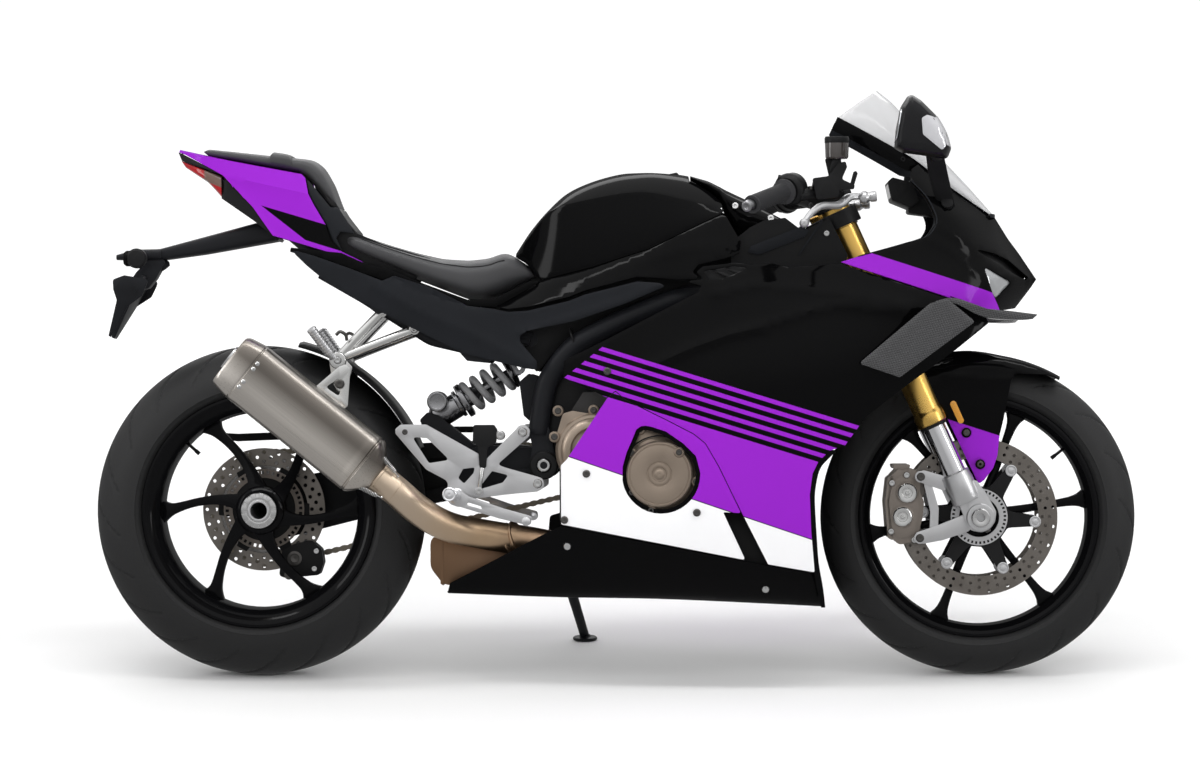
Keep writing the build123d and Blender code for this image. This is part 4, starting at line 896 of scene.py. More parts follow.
def noseFairing():
    outline = [(1105, 782), (1309, 715), (1376, 692), (1405, 692), (1443, 698), (1474, 738), (1484, 753),
        (1452, 801), (1430, 831), (1406, 870), (1392, 875), (1313, 925), (1253, 968), (1240, 958),
        (1238, 935), (1266, 905), (1283, 870), (1283, 853), (1266, 831), (1222, 816), (1136, 792)]
    lens = [(1374, 775), (1432, 745), (1398, 714), (1391, 725)]
    slit = rounded([(1356, 808), (1398, 800), (1424, 789), (1466, 756), (1462, 750), (1440, 760),
        (1398, 783)], 3)
    creases = [([(1292, 848), (1340, 822), (1360, 806)], 2.5, 9), ([(1276, 826), (1330, 790), (1372, 752)],
        2.0, 8), ([(1424, 789), (1470, 752)], 2.0, 8)]
    flatCreases = [([noseSpot(*p) for p in c], lift, reach) for c, lift, reach in creases]
    shell = panel(toNose(outline), noseSide, 9, [toNose(rounded(lens, 5)), toNose(slit)], flatCreases)
    shell = welded(pair(shell))
    piece("noseFairing", [(shell, beakPaint)], "upper_fairing", thick=fairing["skin"],
        bevel=1.0, angle=30, inner=matteGrey)
    glass = panel(toNose(inset(rounded(lens, 5), -1)), lambda u, z, lift: noseSide(u, z, lift - 3.5), 7, (),
                  [([noseSpot(1378, 772), noseSpot(1402, 722)], 2.5, 9)])
    piece("headlightLens", [(pair(glass), lensGrey)], "headlights", thick=3, bevel=0.8)
    back = panel(toNose(inset(slit, -6)), lambda u, z, lift: noseSide(u, z, lift - 12), 10)
    edge = [(1136, 792), (1222, 816), (1266, 831), (1283, 853), (1283, 870), (1266, 905), (1238, 935)]
    line = smooth(edge, 40)
    outer = noseSide(line[:, 0], line[:, 1], np.full(40, 0.8))
    rows = [outer, outer + (-1, 9, 0), outer + (-4, 16, -1), outer + (2, 16, 0), outer + (3, 8, 0),
        outer + (3, 0.6, 0)]
    lip = grid([[tuple(p) for p in row] for row in rows], closedU=True)
    chin = []
    for x, z in smooth([(1309, 714), (1345, 701), (1376, 693), (1410, 693), (1440, 699)], 16):
        y = abs(float(noseSide(np.array([noseSpot(x, z)[0]]), np.array([z]), np.zeros(1))[0, 1]))
        chin.append([(x, y * t, z + 2 + 14 * (1 - t * t)) for t in np.linspace(-1, 1, 15)])
    flatDuct, ductFaces = meshed(rounded([(900, 770), (900, 822), (936, 850), (960, 862), (1002, 868),
        (1036, 842), (1062, 856), (1086, 866), (1120, 797), (1112, 770)], 5), 60)
    duct = facing([(x, -148, z) for x, z in flatDuct], ductFaces, (0, -1, 0))
    trims = [slab([(930, 803), (938, 815), (1034, 852), (1047, 843), (1040, 832), (952, 798)], 4, 149, 153),
        slab([(1026, 798), (1030, 798), (1074, 862), (1071, 865)], 1, 149, 151.5)]
    piece("ductTrim", [(pair(joined(*trims)), matteGrey), (boltHeads([((1080, 149 * s, 838), (0, s, 0))
        for s in (1, -1)], 6, 4), brightSteel)], bevel=0.8)
    piece("noseInner", [(pair(joined(back, duct)), satinBlack), (pair(lip), matteGrey),
        (grid(chin), satinBlack)], thick=2.0, bevel=0.5, segments=1)


def screenShape():
    centre, edge, half = (hermite(range(6), np.linspace(0, 5, 36)) @ np.array(screen[k], float).reshape(6,
        -1) for k in ("centre", "edge", "half"))
    rows, bands = [], [[], []]
    for c, e, h in zip(centre, edge, half[:, 0]):
        rows.append([(c[0] + (e[0] - c[0]) * t * t, h * sin(t * 1.5) / sin(1.5),
            c[1] + (e[1] - c[1]) * t * t) for t in np.linspace(-1, 1, 41)])
        deep = screen["band"] * min(1, max(0.1, (1290 - e[0]) / 50))
        for k, side in enumerate((1, -1)):
            bands[k].append([(e[0] - 0.42 * deep * s, side * (h + 1.2 - 3 * s * s), e[1] - 0.9 * deep * s)
                             for s in (-0.12, 0.0, 0.33, 0.66, 1.0)])
    clear = grid(rows)
    band = joined(grid([list(reversed(r)) for r in bands[1]]), grid(bands[0]))
    piece("windscreen", [(clear, screenGlass)], "windscreen", thick=2.6, bevel=0.6, angle=60)
    low = grid([[(p[0] + 1.0, p[1] * 1.01, p[2] + 1.5 - 12 * k) for p in rows[0]] for k in (0, 0.3, 0.6)])
    piece("screenBand", [(band, glossBlack), (low, glossBlack)], thick=2.2, bevel=0.6, inner=matteGrey)
    bolts = []
    for x, y, z in ((1150, 128, 1020), (1225, 138, 978)):
        bolts += [((x, y * s, z), (0, s, 0)) for s in (1, -1)]
    piece("screenBolts", [(boltHeads(bolts, 5, 3), satinBlack)])


def winglets():
    chords = [(-190, 1356, 1436), (-215, 1330, 1456), (-245, 1304, 1466), (-270, 1284, 1469),
        (-286, 1272, 1468)]
    top = ([1268, 1283, 1300, 1320, 1374, 1420, 1469], [701, 709, 713, 713, 693, 688.5, 682])
    rows = []
    for y, rearX, frontX in chords:
        line = np.linspace(0, 1, 22)
        upper = [(rearX + (frontX - rearX) * t, y, float(np.interp(rearX + (frontX - rearX) * t, *top)))
            for t in line]
        lower = [(x, yy, z - 17 * (4 * t * (1 - t)) ** 0.35 * min(1, (x - 1240) / 110))
            for (x, yy, z), t in zip(upper, line)]
        rows.append(upper + list(reversed(lower))[1:-1])
    blade = grid(rows, closedV=True, caps=True)
    end = slab([(1136, 592), (1268, 703), (1300, 712), (1352, 669), (1212, 566)], 5, -286, -290, (), 12)
    end = ([(x, y + (720 - z) * 0.03, z) for x, y, z in end[0]], end[1])
    piece("winglets", [(pair(closedUp(*blade)), carbon), (pair(end), carbon)], "winglets",
          bevel=1.4, angle=35)


def bellyPan():
    table = np.array([(357, 110, 96, 70, 158), (560, 176, 150, 96, 151), (765, 212, 172, 106, 148),
                      (960, 214, 170, 104, 139), (1071, 186, 150, 90, 132)], float)

    def half(x, z):
        row = hermite(table[:, 0], x) @ table
        low, top = row[:, 4], 300.0
        share = np.clip((z - low) / (top - low), 0, 1)
        bottom, middle, high = row[:, 3], row[:, 2], row[:, 1]
        knee = 50 / (top - low)
        return np.where(share < knee, bottom + (middle - bottom) * np.sqrt(np.clip(share / knee, 0, 1)),
                        middle + (high - middle) * np.maximum(0, (share - knee) / (1 - knee)) ** 0.9)

    side = [(359, 160), (364, 178), (429, 212), (504, 252), (567, 284), (578, 288.4), (1055, 197),
        (1069, 134), (765, 149), (560, 153)]
    ridgeLine = ([(868, 200), (900, 196), (975, 188)], 1.6, 6)
    shell = panel(inset(side, 0.6), skinOf(half), 8, (), [ridgeLine, ([(975, 206), (996, 142)], -1.5, 4)])
    floor = []
    for x, z in smooth([(359, 160), (560, 153), (765, 149), (960, 140), (1069, 134)], 40):
        y = atSpot(half, x, z)
        floor.append([(x, y * t, z - 3 * (1 - t ** 4)) for t in np.linspace(-1, 1, 13)])
    leftSide = panel(inset(side, 0.6), skinOf(half), 8,
                     [rounded([(520, 200), (680, 200), (680, 262), (598, 277), (520, 252)], 8)], [ridgeLine])
    piece("bellyPan", [(joined(shell, flipped(leftSide), grid(floor)), glossBlack)], "belly_pan",
        thick=3, bevel=1.0, angle=30, inner=satinBlack)
    bolts = [((x, -atSpot(half, x, z) - 0.6, z), (0, -1, 0)) for x, z in ((963, 168), (590, 250))]
    piece("bellyBolts", [(pair(boltHeads(bolts, 7, 3.5)), brightSteel)])


def frontFender():
    paint = glossPaint("fenderPaint", blackPaint)
    x, _, z = paint.where()
    paint.set(base_color=paint.mix((z + x * 0.3232).under(910.4, 0.8), blackPaint, purpleTone))

    def sideY(x, z):
        r = np.hypot(x - front[0], z - front[1])
        return np.interp(r, [60, 150, 220, 270, 290, 300, 306], [68, 71, 74, 75.5, 74.5, 70, 65])

    tilt = [radians(a) for a in np.linspace(59.6, 116, 30)]
    arch, topR = [], [(59, 309.5), (70, 309.5), (82, 310.5), (93, 317), (101, 319), (118, 317)]
    for a in tilt:
        high = float(np.interp(degrees(a), *zip(*topR)))
        section = [(high - (high - 303) * abs(t) ** 3.2, 67 * t) for t in np.linspace(-1, 1, 25)]
        arch.append([(front[0] + r * cos(a), y, front[1] + r * sin(a)) for r, y in section])
    rim = [onCircle(front, 304.5, a) for a in tilt[1:]]
    side = rim + [(1230, 560), (1250, 556), (1268, 551), (1310, 488), (1368, 366), (1372, 365), (1380, 371),
        (1397, 394), (1405, 418), (1409, 455), (1417, 488), (1431, 560), (1439, 573), (1500, 571),
        (1519, 565)]
    flank = panel(rounded(side, 4, 2), skinOf(sideY), 8, (), [([(1300, 575), (1380, 560), (1432, 562)], 1.8,
        8)])
    piece("frontFender", [(joined(pair(flank), closedTop(arch)), paint)], "front_fender",
          thick=2.6, bevel=0.8, angle=34, inner=satinBlack, body="front_end")
    along, across = Vector((-0.41, 0.912)), Vector((0.912, 0.41))
    capsule = []
    for k in range(24):
        b = 2 * pi * k / 24
        spot = Vector((1328, 500)) + along * (copysign(17, sin(b)) + 6 * sin(b)) + across * (6 * cos(b))
        capsule.append(tuple(spot))
    marker = plate(capsule, -75, -80)
    bolts = joined(sideBolts([(1346, 461)], -75.5, 6.5, 3.5), sideBolts([(1372, 401)], -74.5, 6.5, 3.5))
    rims = joined(*[turnedOn((x, -74.6, z), (0, -1, 0), [(0, 0), (9.5, 0), (9.5, 1.6), (0, 1.6)], 24)
                    for x, z in ((1346, 461), (1372, 401))])
    piece("fenderTrim", [(pair(marker), amber), (pair(rims), glossBlack), (pair(bolts), darkSteel)], (),
          bevel=0.7, body="front_end")


def closedTop(rows):
    points, faces = grid(rows)
    return facing(points, faces, (0.1, 0, 1))


print("fairings")
sideFairing()
noseFairing()
screenShape()
winglets()
bellyPan()
frontFender()

tank = {
    "top": ((486, 800), (488, 803), (518, 848), (549, 884), (584, 917), (625, 938), (678, 954), (723, 960),
            (756, 961), (797, 956), (830, 950), (858, 942), (891, 925), (928, 909), (1003, 867)),
    "crease": ((486, 792), (518, 837), (549, 876), (575, 891), (596, 897), (658, 909), (707, 916),
               (748, 916), (809, 903), (879, 885), (930, 870), (1003, 850)),
    "seam": ((486, 745), (539, 753), (637, 776), (748, 811), (883, 876), (920, 894)),
    "width": ((486, 40), (520, 72), (580, 112), (660, 142), (740, 156), (820, 158), (890, 148), (1003, 78)),
    "flare": 12.0,  # how much wider the tank is at its seam than at its crease
}


def along(name, x, table=tank):
    nodes = np.array(table[name], float)
    return hermite(nodes[:, 0], np.atleast_1d(x)) @ nodes[:, 1]


def crown(x, y):
    high, low, wide = along("top", x), along("crease", x), along("width", x)
    return np.stack([x, y, high - (high - low) * np.clip(np.abs(y) / wide, 0, 1) ** 2.4], 1)


def flankY(x, z):
    low, high = along("seam", x), along("crease", x)
    share = np.clip((high - z) / np.maximum(8, high - low), 0, 1)
    return along("width", x) + tank["flare"] * np.sin(share * pi / 2)


def pod(top, bottom, half, count=28, around=40, soft=(2.8, 2.4)):  # a closed form from its side and plan
    low, high = max(top[0][0], bottom[0][0]), min(top[-1][0], bottom[-1][0])
    t = 0.5 - 0.5 * np.cos(np.linspace(0, pi, count))
    rows = []
    for x in low + (high - low) * t:
        up, down, wide = (float(np.interp(x, *zip(*k))) for k in (top, bottom, half))
        row = []
        for a in np.linspace(0, 2 * pi, around, endpoint=False):
            c, s = cos(a), sin(a)
            row.append((x, wide * copysign(abs(c) ** (2 / soft[0]), c),
                        (up + down) / 2 + (up - down) / 2 * copysign(abs(s) ** (2 / soft[1]), s)))
        rows.append(row)
    return closedUp(*grid(rows, closedV=True, caps=True))


def fuelTank():
    rise = [(490, 801), (518, 838), (549, 876), (575, 891), (596, 897), (658, 909), (707, 916), (748, 916),
        (809, 903), (879, 885.5)]
    crease = [tuple(p) for p in smooth([(x, float(along("crease", x)[0])) for x, _ in rise], 56)]
    outline = crease + [(887, 884), (882, 876)] + dense([(882, 876), (748, 811), (637, 776), (539, 753)], 9,
        False)[1:] + [(527, 765), (520, 776), (505, 789)]
    flank = panel(outline, skinOf(flankY), 9)
    edge = [(x, -float(along("width", x)[0])) for x, z in crease]
    frontEdge = [(884, -140), (879, -129), (868, -118), (854, -108), (838, -97), (822, -86), (820, -50),
        (819, 0)]
    lap = edge + frontEdge
    lap += [(x, -y) for x, y in reversed(lap[:-1])]
    flat, faces = meshed(lap, 9, [circle((752, 0), 58, 60)])
    roof = facing(crown(flat[:, 0], flat[:, 1]), faces, (0, 0, 1))
    body = welded(joined(pair(flank), roof))
    piece("fuelTank", [(body, glossBlack)], "fuel_tank", thick=3, bevel=1.6, segments=3,
          angle=34, bevelAngle=22, inner=satinBlack)
    well = turnedOn((752, 0, 0), (0, 0, 1), [(58.5, 954), (58.5, 932), (48.3, 930), (48.3, 934), (56.5, 936),
        (56.5, 953.5)], 72)
    piece("tankPocket", [(well, satinBlack)])
    ring = turnedOn((752, 0, 0), (0, 0, 1), [(30.2, 925), (47.8, 925), (47.8, 944), (46, 948.5), (40, 948.5),
        (39, 947.5), (31, 947.5), (30.2, 946)], 72)
    lugs = [slab([(791, 946), (797, 946), (802, 955), (797, 960), (792, 955)], 2, s * 8, s * 13)
        for s in (1, -1)]
    pin = turnedOn((797, -13, 955.5), (0, 1, 0), [(0, 0), (2, 0), (2, 26), (0, 26)], 16)
    screws = boltHeads([((752 + 43.3 * cos(a), 43.3 * sin(a), 948), (0, 0, 1))
                        for a in (2 * pi * k / 7 + 0.5 for k in range(7))], 2.6, 2.2)
    piece("fillerBezel", [(joined(ring, *lugs), satinBlack), (joined(pin, screws), brightSteel)],
        "filler_bezel", bevel=0.5)
    lid = turnedOn((752, 0, 0), (0, 0, 1), [(0, 949.6), (38, 949.6), (38, 954.5), (36, 956.5), (31, 956.8),
        (29.5, 955.8), (0, 956.4)], 72)
    ear = slab([(780, 950.6), (797, 951.4), (801.5, 955.5), (797, 959.8), (780, 956.4)], 1.5, 7.5, -7.5,
        [circle((797, 955.5), 2.2, 14)])
    flap = slab([(-14, -9), (14, -9), (14, 9), (-14, 9)], 6, 0, 1.8)
    flap = ([(744 + x, z, 956.6 + y) for x, y, z in flap[0]], flap[1])
    piece("fuelCap", [(joined(lid, ear), satinBlack), (closedUp(*flap), glossBlack)], "fuel_cap",
        bevel=0.5, body="fuel_cap")


def tankCovers():
    table = {"top": tank["seam"], "seam": ((452, 702), (500, 733), (539, 752), (637, 775), (748, 810),
        (883, 875), (920, 893)), "low": ((452, 699), (479, 693), (516, 695), (594, 713), (699, 743),
        (764, 745), (842, 750), (890, 780), (920, 800)), "in": ((452, 112), (520, 100), (560, 120),
        (600, 136), (660, 156), (740, 169), (820, 171), (883, 162), (920, 150)),
        "out": ((452, 149), (560, 167), (700, 186), (785, 189), (842, 198), (920, 186))}

    def skin(x, z, lift):
        high, low = along("seam", x, table), along("low", x, table)
        share = np.clip((high - z) / np.maximum(6, high - low), 0, 1) ** 0.8
        y = along("in", x, table) * (1 - share) + along("out", x, table) * share
        return np.stack([x, -y - lift, z], 1)

    outline = [(454, 702), (520, 743), (539, 751), (637, 774), (748, 809), (881, 873.5), (891, 870),
        (918, 822), (916, 801), (890, 791), (838, 779), (827, 765), (842, 752), (800, 751), (764, 754),
        (723, 757), (699, 751), (625, 732), (594, 720), (516, 702), (479, 698)]
    side = panel(rounded(outline, 4, 2), skin, 9, (), [([(560, 742), (700, 776), (820, 812), (880, 812)],
        2.0, 12)])
    top = [(823, 951), (858, 941), (891, 924), (928, 907), (1003, 867)]
    bottom = [(823, 944), (855, 924), (880, 903), (890, 876), (906, 842), (924, 815), (950, 813),
        (1003, 828)]
    half = [(823, 84), (838, 95), (854, 106), (868, 116), (880, 124), (900, 120), (940, 98), (1003, 76)]
    hood = pod(top, bottom, half, 30, 36, (3.4, 2.6))
    piece("tankCover", [(pair(side), glossBlack), (hood, glossBlack)], "tank_cover",
        thick=2.6, bevel=1.0, angle=34, inner=satinBlack)
    bolts = [((908, -113, 891), (0, -1, 0.35)), ((976, -84, 868), (0, -1, 0.35))]
    piece("coverBolts", [(pair(boltHeads(bolts, 7, 4)), brightSteel)])


seatX = {"riderTop": [(157, 845), (185, 844), (249, 822), (300, 807), (352, 795), (401, 792), (438, 796),
    (462, 805), (474, 806), (485, 801), (520, 777), (528, 761)], "riderLow": [(157, 834), (167, 815),
    (249, 779), (306, 754), (401, 717), (425, 713), (454, 720), (520, 753), (528, 759)],
    "riderHalf": [(157, 82), (180, 104), (220, 118), (320, 128), (400, 122), (450, 104), (490, 88),
    (520, 74), (528, 66)], "backTop": [(-106, 1003), (-97, 1007), (25, 993), (95, 986), (108, 983),
    (123, 970), (140, 939), (155, 894)], "backLow": [(-106, 1000), (-95, 991), (86, 956), (99, 944),
    (136, 898), (155, 891)], "backHalf": [(-106, 34), (-60, 62), (20, 86), (100, 98), (155, 92)]}


def vinylFinish():
    f = Finish("seatVinyl", (0.036, 0.036, 0.038), 0.5, specular_ior_level=0.45)
    grain = f.noise(1300, 4)
    f.set(roughness=f.noise(14, 2) * 0.16 + grain * 0.16 + 0.34)
    f.set(base_color=f.mix(f.noise(11, 3), (0.03, 0.03, 0.032), (0.046, 0.046, 0.049)))
    return f.bump(grain, 0.4, 0.0006)


vinyl = vinylFinish()


def seats():
    rider = pod(seatX["riderTop"], seatX["riderLow"], seatX["riderHalf"], 44, 56, (3.4, 2.8))
    back = pod(seatX["backTop"], seatX["backLow"], seatX["backHalf"], 40, 48, (3.6, 3.0))
    one = piece("riderSeat", [(rider, vinyl)], "rider_seat", sub=1, angle=60)
    two = piece("pillionSeat", [(back, vinyl)], "pillion_seat", sub=1, angle=60)
    strapTop = [(24, 994), (29, 1000), (50, 997), (62, 994), (66, 990)]
    strapLow = [(24, 971), (66, 962)]
    strap = pod(strapTop, strapLow, [(24, 89), (45, 93), (66, 94)], 14, 48, (4.5, 3.4))
    piece("pillionStrap", [(strap, vinyl)], sub=1, angle=60)
    lines, a = [], asin(0.62 ** 1.4)  # how far up the seat's side the piping runs
    for side in (1, -1):
        spots = []
        for x in np.linspace(200, 470, 30):
            up, down, wide = (float(np.interp(x, *zip(*seatX[k]))) for k in ("riderTop", "riderLow",
                "riderHalf"))
            spots.append((x, side * wide * cos(a) ** (2 / 3.4),
                (up + down) / 2 + (up - down) / 2 * sin(a) ** (2 / 2.8)))
        lines.append(tube(spots, 1.3, 8, 60))
    piece("seatPiping", [(joined(*lines), satinBlack)])


tailHalf = ((-160, 18), (-120, 56), (-60, 82), (40, 106), (120, 116), (210, 119))


def tailY(x, z):
    nodes = np.array(tailHalf, float)
    middle = np.interp(x, [-155, 86, 210], [990, 900, 790])
    return hermite(nodes[:, 0], x) @ nodes[:, 1] - np.clip(z - middle, 0, 80) ** 2 * 0.0035


tailSide = skinOf(tailY)


def tailPaint():
    f = glossPaint("tailPaint", purpleTone)
    x, _, z = f.where()
    black = (z + x * 0.3033 - 899.03).under(0, 0.8) * (z + x * 0.3134 - 859.3).over(0, 0.8)
    black = black * (x * 0.78 + z - 903).over(0, 0.8)
    return f.set(base_color=f.mix(black, purpleTone, blackPaint))


def lensFinish():
    f = Finish("lensRed", (0.32, 0.006, 0.009), 0.16, coat_weight=0.5, coat_roughness=0.03,
        specular_ior_level=0.2)
    x, _, z = f.where()
    line = z + x * 0.4
    smoked = line.over(904, 1) * x.over(-103, 4)
    f.set(base_color=f.mix(smoked, (0.33, 0.006, 0.01), (0.13, 0.08, 0.065)))
    return f


def tail():
    paint, red = tailPaint(), lensFinish()
    outline = [(-154, 1003), (-95, 990), (86, 955), (93, 948), (99, 918), (109, 898), (132, 859), (142, 829),
        (162, 808), (205, 787), (49, 834), (31, 839), (-8, 894), (-66, 955)]
    side = panel(outline, tailSide, 7, (), [([(-66, 955), (99, 917)], 4.0, 12),
        ([(-66, 955), (-8, 894), (31, 839)], 1.5, 5)])
    deck = []
    for x, z in smooth([(-154, 1003), (-95, 990), (0, 971), (86, 955)], 24):
        y = atSpot(tailY, x, z)
        deck.append([(x, y * t, z + 4 * (1 - t * t)) for t in np.linspace(-1, 1, 11)])
    piece("tailCowl", [(pair(side), paint), (closedTop(deck), paint)], "tail_cowl",
        thick=2.6, bevel=0.9, angle=30, inner=satinBlack)
    trim = [(87, 954), (101, 941), (141, 892), (156, 892), (186, 843), (160, 846), (152, 834), (163, 809),
        (146, 829), (134, 860), (111, 899), (101, 918), (95, 948)]
    rim = [(-156, 1001), (-149, 985), (-70, 957), (-66, 955)]
    under = [(-69, 911), (-8, 869), (33, 837), (-8, 893), (-45, 932), (-62, 949)]
    apron = [(66, 816), (163, 805), (206, 785), (249, 776), (306, 751), (401, 716), (454, 718), (520, 751),
        (536, 748), (452, 699), (401, 700), (331, 735), (261, 755), (245, 750), (200, 762), (130, 787),
        (64, 808)]
    back = pod([(150, 893), (158, 891), (190, 848)], [(150, 860), (158, 848), (190, 838)],
        [(150, 84), (190, 92)], 10, 24, (4, 3))
    shade = lambda x, z, lift: tailSide(x, z, lift - 4)
    filler = [(100, 850), (150, 868), (186, 845), (240, 822), (330, 795), (300, 752), (230, 772), (140, 800)]
    inside = skinOf(lambda x, z: np.interp(x, [60, 200, 330, 450, 560], [112, 122, 126, 124, 110]))
    piece("tailTrim", [(pair(panel(trim, shade, 8)), matteGrey), (pair(panel(under, shade, 8)), satinBlack),
        (pair(panel(apron, inside, 10)), glossBlack),
        (pair(panel(filler, lambda x, z, lift: inside(x, z, lift - 24), 14)), satinBlack),
        (pair(panel(rim, tailSide, 8)), satinBlack), (back, satinBlack)], thick=2.4, bevel=0.8)
    lens = pod([(-149, 985), (-69, 956)], [(-149, 983), (-142, 972), (-95, 941), (-69, 912)],
               [(x, y + 0.6) for x, y in ((-149, 26), (-120, 55), (-95, 69), (-69, 79))], 16, 40, (5, 5))
    piece("tailLight", [(lens, red)], "tail_light", bevel=0.6, angle=40)


def sidePanels():
    rows = np.array([(60, 121, 112), (200, 132, 122), (330, 140, 130), (450, 148, 138), (560, 166, 158),
        (700, 184, 180), (785, 186, 184)], float)

    def skin(x, z, lift):
        row = hermite(rows[:, 0], x) @ rows
        share = np.clip((z - 560) / 300, 0, 1)
        return np.stack([x, -(row[:, 2] + (row[:, 1] - row[:, 2]) * share) - lift, z], 1)

    outline = [(64, 813), (110, 800), (177, 776), (240, 752), (262, 761), (331, 739), (401, 704), (450, 698),
        (479, 692), (516, 694), (594, 712), (625, 724), (699, 742), (723, 748), (764, 745), (777, 739),
        (699, 706), (604, 674), (514, 656), (501, 647), (501, 636), (533, 598), (532, 583), (512, 585),
        (438, 603), (397, 613), (331, 645), (274, 674), (220, 703), (200, 711), (132, 752), (97, 781)]
    creases = [([(225, 742), (300, 700), (400, 655), (520, 592)], 5.0, 26), ([(262, 758), (330, 727),
        (372, 712), (430, 700)], -3.0, 9), ([(502, 652), (604, 682), (700, 713), (766, 741)], 2.5, 8)]
    side = panel(rounded(outline, 4, 2), skin, 8, (), creases)
    piece("seatSidePanels", [(pair(side), matteGrey)], "seat_side_panels", thick=2.8,
        bevel=1.1, angle=26, inner=satinBlack)
    lobes = [plate(rounded(s, 6, 3), -112, -126) for s in ([(365, 640), (400, 600), (440, 596), (450, 612),
        (390, 640)], [(214, 712), (236, 712), (246, 696), (232, 688), (216, 700)],
        [(280, 684), (306, 682), (312, 664), (296, 662), (280, 672)])]
    piece("panelLobes", [(pair(joined(*lobes)), frameBlack)], bevel=2.0)


def plateHolder():
    arm = pod([(-200, 817), (-193, 817), (-8, 866), (34, 856)], [(-200, 796), (-177, 796), (-103, 806),
        (0, 824), (34, 830)], [(-200, 26), (0, 36), (34, 38)], 26, 36, (4, 3.2))
    head = pod([(-276, 806), (-239, 816), (-190, 817)], [(-276, 796), (-239, 795), (-190, 795)],
        [(-276, 22), (-240, 34), (-190, 30)], 12, 32, (4, 3))
    hang = slab([(-214, 797), (-180, 797), (-200, 760), (-214, 742), (-232, 738), (-246, 760), (-238, 772)],
        6, 22, -22)
    tongue = slab([(-262, 756), (-246, 762), (-230, 745), (-240, 722), (-262, 728), (-272, 744)], 7, 15, -15)
    board = plate([(-222, 765), (-216, 763), (-280, 645), (-286, 648)], 90, -90, [], 30)
    rim = slab([(-275, 757), (-253, 765), (-206, 757), (-220, 726), (-249, 706), (-287, 648), (-291, 651),
        (-269, 718), (-274, 738)], [6, 8, 8, 8, 10, 1, 1, 8, 6], 93, 90)
    board = joined(board, rim, flipped(rim))
    board = ([(x, y * np.interp(z, [645, 735], [0.22, 1]), z) for x, y, z in board[0]], board[1])
    lamps, lenses = [], []
    for s in (1, -1):
        lamps.append(turnedOn((-230, s * 34, 797), (0, s, 0), [(0, 0), (6, 0), (6, 26), (14, 30), (19, 38),
            (19, 58), (15, 63), (0, 64)], 32))
        lenses.append(turnedOn((-246, s * 80, 797), (-1, 0, 0), [(0, -6), (15, -6), (15, 4), (11, 9),
            (0, 11)], 28))
    spot = turnedOn((-188, 0, 786), (0.6, 0, -0.8), [(0, -10), (11, -10), (13, 2), (10, 8), (0, 9)], 24)
    piece("plateHolder", [(joined(arm, head, hang, tongue, board, spot), frameBlack),
        (joined(*lamps), satinBlack), (joined(*lenses), glossBlack)], "plate_holder",
        bevel=1.2, angle=36)


print("tank, seats and tail")
fuelTank()
tankCovers()
seats()
tail()
sidePanels()
plateHolder()


silencer = {
    "inlet": Vector((236, -217, 383)),
    "run": Vector((-221, 0, 177.5)).normalized(),  # from the inlet up to the end cap
    "half": (62, 60),  # across the bike, and up
    "corner": 34,
    "length": 352,
}
exhaust = {"path": [(640, -85, 232), (520, -85, 256), (470, -96, 264), (415, -112, 274), (372, -138, 284),
                    (335, -168, 302), (300, -196, 328), (273, -214, 353), (236, -217, 383)], "radius": 28.5}
shock = {"foot": Vector((326, -45, 485)), "top": Vector((494, -45, 588)), "spring": 27, "wire": 6.6,
    "turns": 3.9}
clutch = {"centre": (764, 386), "radius": 62}
generator = {"centre": (640, 430), "radius": 72}


def brushedTitaniumWithPaintedShade():
    f = Finish("titanium", (0.5, 0.46, 0.42), 0.27, 1.0)
    x, y, z = f.where()
    run = silencer["run"]
    along, across = x * run.x + z * run.z, x * run.z - z * run.x
    spot = f.node("ShaderNodeCombineXYZ", {}, along * 0.0006, across * 0.09, y * 0.09)
    grain = f.node("ShaderNodeTexNoise", {}, Vector=spot, Scale=9.0, Detail=5.0)
    warm = (along - 20).over(60, 140)
    tone = f.mix(warm, (0.56, 0.5, 0.43), (0.5, 0.465, 0.43))
    # band: painted shade, a dark band over the upper half of the silencer's flat side, standing in for a
    # dark reflection there
    middle, half = silencer["inlet"].x * run.z - silencer["inlet"].z * run.x, silencer["half"][1]
    band = across.over(middle + half * 0.05, half * 0.6) - across.over(middle + half * 0.82,
        half * 0.2) * 0.6
    lit = f.mix(grain, tone, (0.7, 0.66, 0.61))
    f.set(base_color=f.mix(band, lit, (0.2, 0.18, 0.16)), roughness=grain * 0.22 + 0.2)
    return f.bump(grain, 0.1, 0.0002)


def tintedPipe(name, cool, warm, hot):  # colours of heated steel, from the far end to the ports
    f = Finish(name, cool, 0.24, 1.0)
    x, _, _ = f.where()
    cloud = f.noise(14, 4)
    near = (x + cloud * 90).over(400, 150)
    far = (x + cloud * 110).over(545, 120)
    f.set(base_color=f.mix(far, f.mix(near, cool, warm), hot), roughness=cloud * 0.1 + 0.33)
    return f.bump(f.noise(700, 3), 0.02, 0.0001)


titanium = brushedTitaniumWithPaintedShade()
heated = tintedPipe("heatedPipe", (0.74, 0.6, 0.46), (0.66, 0.47, 0.3), (0.4, 0.26, 0.17))
bronzeHeat = tintedPipe("bronzeHeat", (0.2, 0.12, 0.07), (0.26, 0.16, 0.1), (0.16, 0.1, 0.065))
coverBronze = metal("coverBronze", (0.34, 0.275, 0.22), 0.33, 110, 0.15, metallic=0.85)
enginePaint = plastic("enginePaint", (0.035, 0.034, 0.034), 0.5, 700, 0.4)
springGrey = plastic("springGrey", (0.22, 0.22, 0.225), 0.3, 900, 0.05)
gunmetal = metal("gunmetal", (0.3, 0.3, 0.31), 0.26, 60, 0.1)
